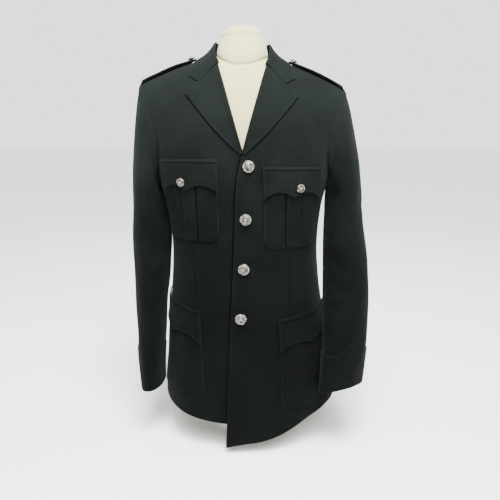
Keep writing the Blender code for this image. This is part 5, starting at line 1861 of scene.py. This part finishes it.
class TUNIC_OT_pockets(TunicOperator):
    """Cut the patch pockets and their flaps"""
    bl_idname = "tunic.pockets"
    bl_label = "Pockets and flaps"

    def build(self, scene):
        for kind, pockets, flaps, over in (
            ("chest", CHEST_POCKETS, CHEST_FLAPS, FLAP_OVER), ("lower", LOWER_POCKETS, LOWER_FLAPS, LOWER_OVER)):
            for patch in pockets:
                name = SIDES[patch.side]
                self.lay(f"{kind}_pocket_{name}", name, *pocket_sheet(PatchMap(patch), kind == "chest"))
            for patch in flaps:
                name = SIDES[patch.side]
                self.lay(f"{kind}_flap_{name}", name, *flap_sheet(PatchMap(patch), over))

    def lay(self, node, name, rows, places, fold):
        mesh = grid_mesh(f"tunic_{node}", rows, places, outside=away_from(0.0, 0.0), fold=fold)
        thing = cloth_piece(mesh.name, mesh, [wool()], outward=True)
        belong(thing, "wool", node)


class TUNIC_OT_collar(TunicOperator):
    """Cut the collar and the two lapels"""
    bl_idname = "tunic.collar"
    bl_label = "Collar and lapels"

    def build(self, scene):
        for side, name in SIDES.items():
            rows, places = lapel_sheet(side)
            mesh = grid_mesh(f"tunic_lapel_{name}", rows, places, outside=away_from(0.0, 0.0))
            thing = cloth_piece(mesh.name, mesh, [wool()], outward=True)
            belong(thing, "wool", f"lapel_{name}")
        rows, up, around = collar_sheet()
        across = np.broadcast_to(around[:, None], rows.shape[:2])
        mesh = grid_mesh("tunic_collar", rows, across, outside=away_from(0.0, FORWARD, 0.70), up=up)
        thing = cloth_piece(mesh.name, mesh, [wool()], outward=True)
        belong(thing, "wool", "collar")


class TUNIC_OT_straps(TunicOperator):
    """Cut the epaulettes"""
    bl_idname = "tunic.straps"
    bl_label = "Epaulettes"

    def build(self, scene):
        for side, name in SIDES.items():
            rows, places = strap_sheet(side)
            mesh = grid_mesh(f"tunic_epaulette_{name}", rows, places, outside=away_from(0.0, 0.0, 0.3))
            strap = bpy.data.materials["epaulette_wool_painted_shade"]
            thing = cloth_piece(mesh.name, mesh, [strap], wall=DOUBLE_WALL, outward=True)
            belong(thing, "wool", f"epaulette_{name}")


class TUNIC_OT_buttons(TunicOperator):
    """Cast the buttons and sew them on"""
    bl_idname = "tunic.buttons"
    bl_label = "Buttons"

    def build(self, scene):
        settings = scene.tunic_buttons
        for number, spot in enumerate(FRONT_BUTTONS, 1):
            across, height = front_spot(spot)
            point = front_point(LEFT, across, height, SHANK_GAP)
            make_button(f"front_button_{number}", LARGE_BUTTON, point, front_normal(LEFT, across, height), settings)
        for side, name in SIDES.items():
            spot = CHEST_BUTTONS[side]
            point = front_point(side, *spot, FLAP_OVER + WALL + SHANK_GAP)
            make_button(f"chest_button_{name}", SMALL_BUTTON, point, front_normal(side, *spot), settings)
            turn, level = turn_from_plan(side * STRAP_BUTTON, STRAP_DEPTH)
            point = skin(turn, level, AIR + DOUBLE_WALL + SHANK_GAP + strap_arch(STRAP_BUTTON))
            make_button(f"epaulette_button_{name}", SMALL_BUTTON, point, skin_normal(turn, level), settings)


def front_spot(spot):
    """Distance from the body's middle and height of a spot given from the form's middle."""
    return spot.across - BODY_TRACK(spot.height)[..., -1], spot.height


# Paths of the sewing


def stitch_out(out, wall=WALL):
    """Height of a thread's middle over the body where it lies on a piece that is this far out."""
    return out + wall + 0.00008


def pocket_line(spread, inset=0.0022):
    """Row of stitches down one side of a pocket, round its corners and up the other."""
    patch = spread.patch
    last = 1 - inset / patch.depth
    v = np.concatenate([np.linspace(0.03, last - 0.25, 40), np.linspace(last - 0.25, last, 60)[1:]])
    side = (corner_cut(patch, v) + inset) / patch.width
    low = np.linspace(side[-1], 1 - side[-1], 60)[1:-1]
    u = np.concatenate([side, low, 1 - side[::-1]])
    v = np.concatenate([v, np.full(low.shape, last), v[::-1]])
    out = stitch_out(mix(0.0005, POCKET_AIR, ease(inset / 0.006)))
    return seam_line(spread.point(u, patch.top - v * patch.depth, out))


def pleat_line(spread, side, inset):
    """Row of stitches down a box pleat, beside one of its folded edges."""
    patch = spread.patch
    v = np.linspace(0.02, 0.985, 90)
    u = 0.5 + side * (PLEAT_HALF - inset) / patch.width
    out = stitch_out(POCKET_AIR + PLEAT_LIFT)
    return seam_line(spread.point(np.full(v.shape, u), patch.top - v * patch.depth, out))


def flap_edge_line(spread, over, inset=0.0022):
    """Row of stitches round a flap's three free edges."""
    patch = spread.patch
    u = np.linspace(inset / patch.width, 1 - inset / patch.width, 130)
    edge = scallop_depth(patch, u) - inset
    down = np.linspace(0.002, edge[0], 30)[:-1]
    u = np.concatenate([np.full(down.shape, u[0]), u, np.full(down.shape, u[-1])])
    depth = np.concatenate([down, edge, down[::-1]])
    share = depth / scallop_depth(patch, u)
    return seam_line(flap_point(spread, u, depth, over, flap_curl(u, share) + stitch_out(0.0)))


def flap_top_line(spread, over, depth):
    u = np.linspace(0.004, 0.996, 90)
    return seam_line(flap_point(spread, u, np.full(u.shape, depth), over, stitch_out(0.0)))


def strap_line(side, inset=0.0030):
    """Row of stitches round an epaulette: up its front edge, round the point and back."""
    share = np.linspace(0.02, 1 - inset * 1.4 / (STRAP_OUTER - STRAP_INNER), 90)
    left = (1 - share) * (STRAP_OUTER - STRAP_INNER)
    half = mix(STRAP_HALF_OUTER, STRAP_HALF_INNER, share) * mix(0.30, 1.0, np.clip(left / STRAP_POINT, 0, 1))
    k = 1 - inset / half
    lift = stitch_out(0.0008 * (1 - k * k), DOUBLE_WALL)
    front = strap_point(side, share, -k, lift)
    back = strap_point(side, share, k, lift)
    return seam_line(np.concatenate([front, back[::-1]]))


def cuff_line(side, inset):
    angle = np.linspace(0.0, 360.0, 181)
    share = 1 - inset / 0.09
    return seam_line(cuff_point(side, angle, share, stitch_out(AIR)))


def cloth_frame(side, across, height):
    """Directions along the cloth at a place on a front: toward that side, and up."""
    step = 0.003
    run = front_point(side, across + step, height) - front_point(side, across - step, height)
    rise = front_point(side, across, height + step) - front_point(side, across, height - step)
    return unit(run), unit(rise)


class TUNIC_OT_sewing(TunicOperator):
    """Sew the pockets, flaps, epaulettes, cuffs and buttonholes"""
    bl_idname = "tunic.sewing"
    bl_label = "Sewing"

    def build(self, scene):
        settings = scene.tunic_sewing
        seed = 11
        for kind, pockets, flaps, over in (
            ("chest", CHEST_POCKETS, CHEST_FLAPS, FLAP_OVER), ("lower", LOWER_POCKETS, LOWER_FLAPS, LOWER_OVER)):
            for patch, flap in zip(pockets, flaps):
                spread, cover = PatchMap(patch), PatchMap(flap)
                lines = [pocket_line(spread), flap_edge_line(cover, over), flap_top_line(cover, over, 0.0055)]
                if kind == "chest":
                    lines += [pleat_line(spread, -1, 0.0018), pleat_line(spread, 1, 0.0018)]
                sew(f"tunic_{kind}_stitches_{SIDES[patch.side]}", lines, settings, seed=seed)
                seed += 1
        for side, name in SIDES.items():
            sew(f"tunic_epaulette_stitches_{name}", [strap_line(side)], settings, seed=seed)
            sew(f"tunic_cuff_stitches_{name}", [cuff_line(side, 0.0025)], settings, seed=seed + 7)
            seed += 1
        self.front_holes(settings)
        self.small_holes(settings)

    def front_holes(self, settings):
        """Buttonholes of the left front, level, one under each large button."""
        holes = []
        for spot in FRONT_BUTTONS:
            across, height = front_spot(spot)
            run, rise = cloth_frame(LEFT, across, height)
            holes.append(buttonhole(front_point(LEFT, across, height, 0.00012), run, rise, 0.031, 0.0013))
        sew("tunic_front_buttonholes", holes, settings, 0.00075, 0.0026, 31)

    def small_holes(self, settings):
        """Buttonholes of the chest flaps, upright, and of the epaulettes, along the strap."""
        for side, name in SIDES.items():
            spot = CHEST_BUTTONS[side]
            run, rise = cloth_frame(side, *spot)
            place = front_point(side, *spot, FLAP_OVER + WALL + 0.00012)
            hole = buttonhole(place, rise, run, 0.026, 0.0012)
            sew(f"tunic_flap_buttonhole_{name}", [hole], settings, 0.00075, 0.0024, 37)
            turn, level = turn_from_plan(side * STRAP_BUTTON, STRAP_DEPTH)
            lift = AIR + DOUBLE_WALL + 0.0009 + strap_arch(STRAP_BUTTON)
            place = skin(turn, level, lift)
            further = skin(*turn_from_plan(side * (STRAP_BUTTON + 0.004), STRAP_DEPTH), lift)
            run = unit(further - place)
            rise = unit(np.cross(skin_normal(turn, level), run))
            hole = buttonhole(place, run, rise, 0.024, 0.0012)
            sew(f"tunic_epaulette_buttonhole_{name}", [hole], settings, 0.00075, 0.0024, 41)


class TUNIC_OT_form(TunicOperator):
    """Pad the torso and neck of the dress form"""
    bl_idname = "tunic.form"
    bl_label = "Dress form"

    def build(self, scene):
        rows = torso_rows()
        chest = rows[FORM_FINE[1] + 3]
        across = np.broadcast_to(reach_round(chest), rows.shape[:2])
        mesh = grid_mesh("dress_form_torso", rows, across, True, away_from(0.0, FORWARD))
        self.finish(mesh, "form_torso")
        rows, angle = neck_rows()
        swing = np.unwrap(angle)
        across = np.broadcast_to(np.abs(swing - swing[0]) * NECK_X, rows.shape[:2])
        middle = rows[0].mean(axis=0)
        mesh = grid_mesh("dress_form_neck", rows, across, True, away_from(middle[0], middle[1]))
        self.finish(mesh, "form_neck")

    def finish(self, mesh, node):
        weld(mesh, close=True)
        mesh.materials.append(bpy.data.materials["form_jersey"])
        thing = settle(link(mesh.name, mesh), 50.0)
        belong(thing, "jersey", node)


class TUNIC_OT_stand(TunicOperator):
    """Turn the column and the base of the stand"""
    bl_idname = "tunic.stand"
    bl_label = "Stand"

    def build(self, scene):
        steel, enamel = bpy.data.materials["stand_steel"], bpy.data.materials["stand_enamel"]
        turned_piece("stand_column", column_profile(), steel, "stand_metal")
        rim = (BASE_RADIUS - BASE_ROUND * 0.3, BASE_THICK - BASE_ROUND * 0.3)
        turned_piece("stand_base", base_profile(), enamel, "stand_enamel", rim)


class TUNIC_OT_stage(TunicOperator):
    """Set the pale floor, the soft lights and the camera"""
    bl_idname = "tunic.stage"
    bl_label = "Stage"

    def build(self, scene):
        settings = scene.tunic_stage
        mesh = bpy.data.meshes.new("studio_floor")
        corners = [(x, y, 0.0) for x, y in ((-60, -60), (60, -60), (60, 60), (-60, 60))]
        mesh.from_pydata(corners, [], [(0, 1, 2, 3)])
        mesh.materials.append(floor_finish(settings.floor))
        link("studio_floor", mesh)
        self.sky(scene, settings)
        self.lamp("key_light", (0.10, -0.85, 2.10), (0.0, 0.0, 0.78), 0.9, settings.key)
        self.lamp("left_light", (2.2, -0.9, 1.4), (0.0, 0.0, 0.55), 1.2, settings.fill)
        self.lamp("right_light", (-2.2, -0.9, 1.4), (0.0, 0.0, 0.55), 1.2, settings.fill)
        self.lamp("rear_light", (0.0, 2.2, 2.2), (0.0, 0.0, 0.70), 1.5, settings.fill)
        sun = bpy.data.lights.new("high_light", "SUN")
        sun.energy = settings.high
        sun.angle = math.radians(35.0)
        thing = bpy.data.objects.new("high_light", sun)
        thing.rotation_euler = (math.radians(32.0), 0.0, math.radians(8.0))
        scene.collection.objects.link(thing)
        camera = bpy.data.objects.new("camera", bpy.data.cameras.new("camera"))
        camera.data.sensor_width = 36.0
        camera.data.lens = CAMERA_LENS
        camera.location = CAMERA_PLACE
        camera.rotation_euler = (QUARTER - math.radians(CAMERA_DOWN), 0.0, 0.0)
        scene.collection.objects.link(camera)
        scene.camera = camera

    def sky(self, scene, settings):
        """White all round: bright where it is seen, weaker where it lights the pieces."""
        world = bpy.data.worlds.new("studio")
        scene.world = world
        world.use_nodes = True
        nodes, links = world.node_tree.nodes, world.node_tree.links
        nodes.clear()
        light, seen = nodes.new("ShaderNodeBackground"), nodes.new("ShaderNodeBackground")
        both, output = nodes.new("ShaderNodeMixShader"), nodes.new("ShaderNodeOutputWorld")
        light.inputs["Color"].default_value = seen.inputs["Color"].default_value = (1.0, 1.0, 1.0, 1.0)
        light.inputs["Strength"].default_value = settings.sky
        seen.inputs["Strength"].default_value = settings.backdrop
        links.new(nodes.new("ShaderNodeLightPath").outputs["Is Camera Ray"], both.inputs[0])
        links.new(light.outputs[0], both.inputs[1])
        links.new(seen.outputs[0], both.inputs[2])
        links.new(both.outputs[0], output.inputs["Surface"])

    def lamp(self, name, place, target, size, power):
        light = bpy.data.lights.new(name, "AREA")
        light.shape = "SQUARE"
        light.size = size
        light.energy = power
        thing = bpy.data.objects.new(name, light)
        thing.location = place
        aim = Vector(target) - Vector(place)
        thing.rotation_euler = aim.to_track_quat("-Z", "Y").to_euler()
        bpy.context.scene.collection.objects.link(thing)


OPERATORS = (
    TUNIC_OT_finishes,
    TUNIC_OT_form,
    TUNIC_OT_stand,
    TUNIC_OT_panels,
    TUNIC_OT_sleeves,
    TUNIC_OT_pockets,
    TUNIC_OT_collar,
    TUNIC_OT_straps,
    TUNIC_OT_buttons,
    TUNIC_OT_sewing,
    TUNIC_OT_stage,
)


class TUNIC_PT_panel(bpy.types.Panel):
    """Lists the tunic's settings and its operators"""
    bl_idname = "TUNIC_PT_panel"
    bl_label = "Tunic"
    bl_space_type = "VIEW_3D"
    bl_region_type = "UI"
    bl_category = "Tunic"

    def draw(self, context):
        for name, group in GROUPS.items():
            box = self.layout.box()
            for label in group.__annotations__:
                box.prop(getattr(context.scene, name), label)
        for operator in OPERATORS:
            self.layout.operator(operator.bl_idname)


def register():
    for name, group in GROUPS.items():
        bpy.utils.register_class(group)
        setattr(bpy.types.Scene, name, PointerProperty(type=group))
    for operator in OPERATORS:
        bpy.utils.register_class(operator)
    bpy.utils.register_class(TUNIC_PT_panel)


def unregister():
    bpy.utils.unregister_class(TUNIC_PT_panel)
    for operator in reversed(OPERATORS):
        bpy.utils.unregister_class(operator)
    for name, group in reversed(list(GROUPS.items())):
        delattr(bpy.types.Scene, name)
        bpy.utils.unregister_class(group)


def main():
    register()
    for operator in OPERATORS:
        area, name = operator.bl_idname.split(".")
        getattr(getattr(bpy.ops, area), name)()


if __name__ == "__main__":
    main()
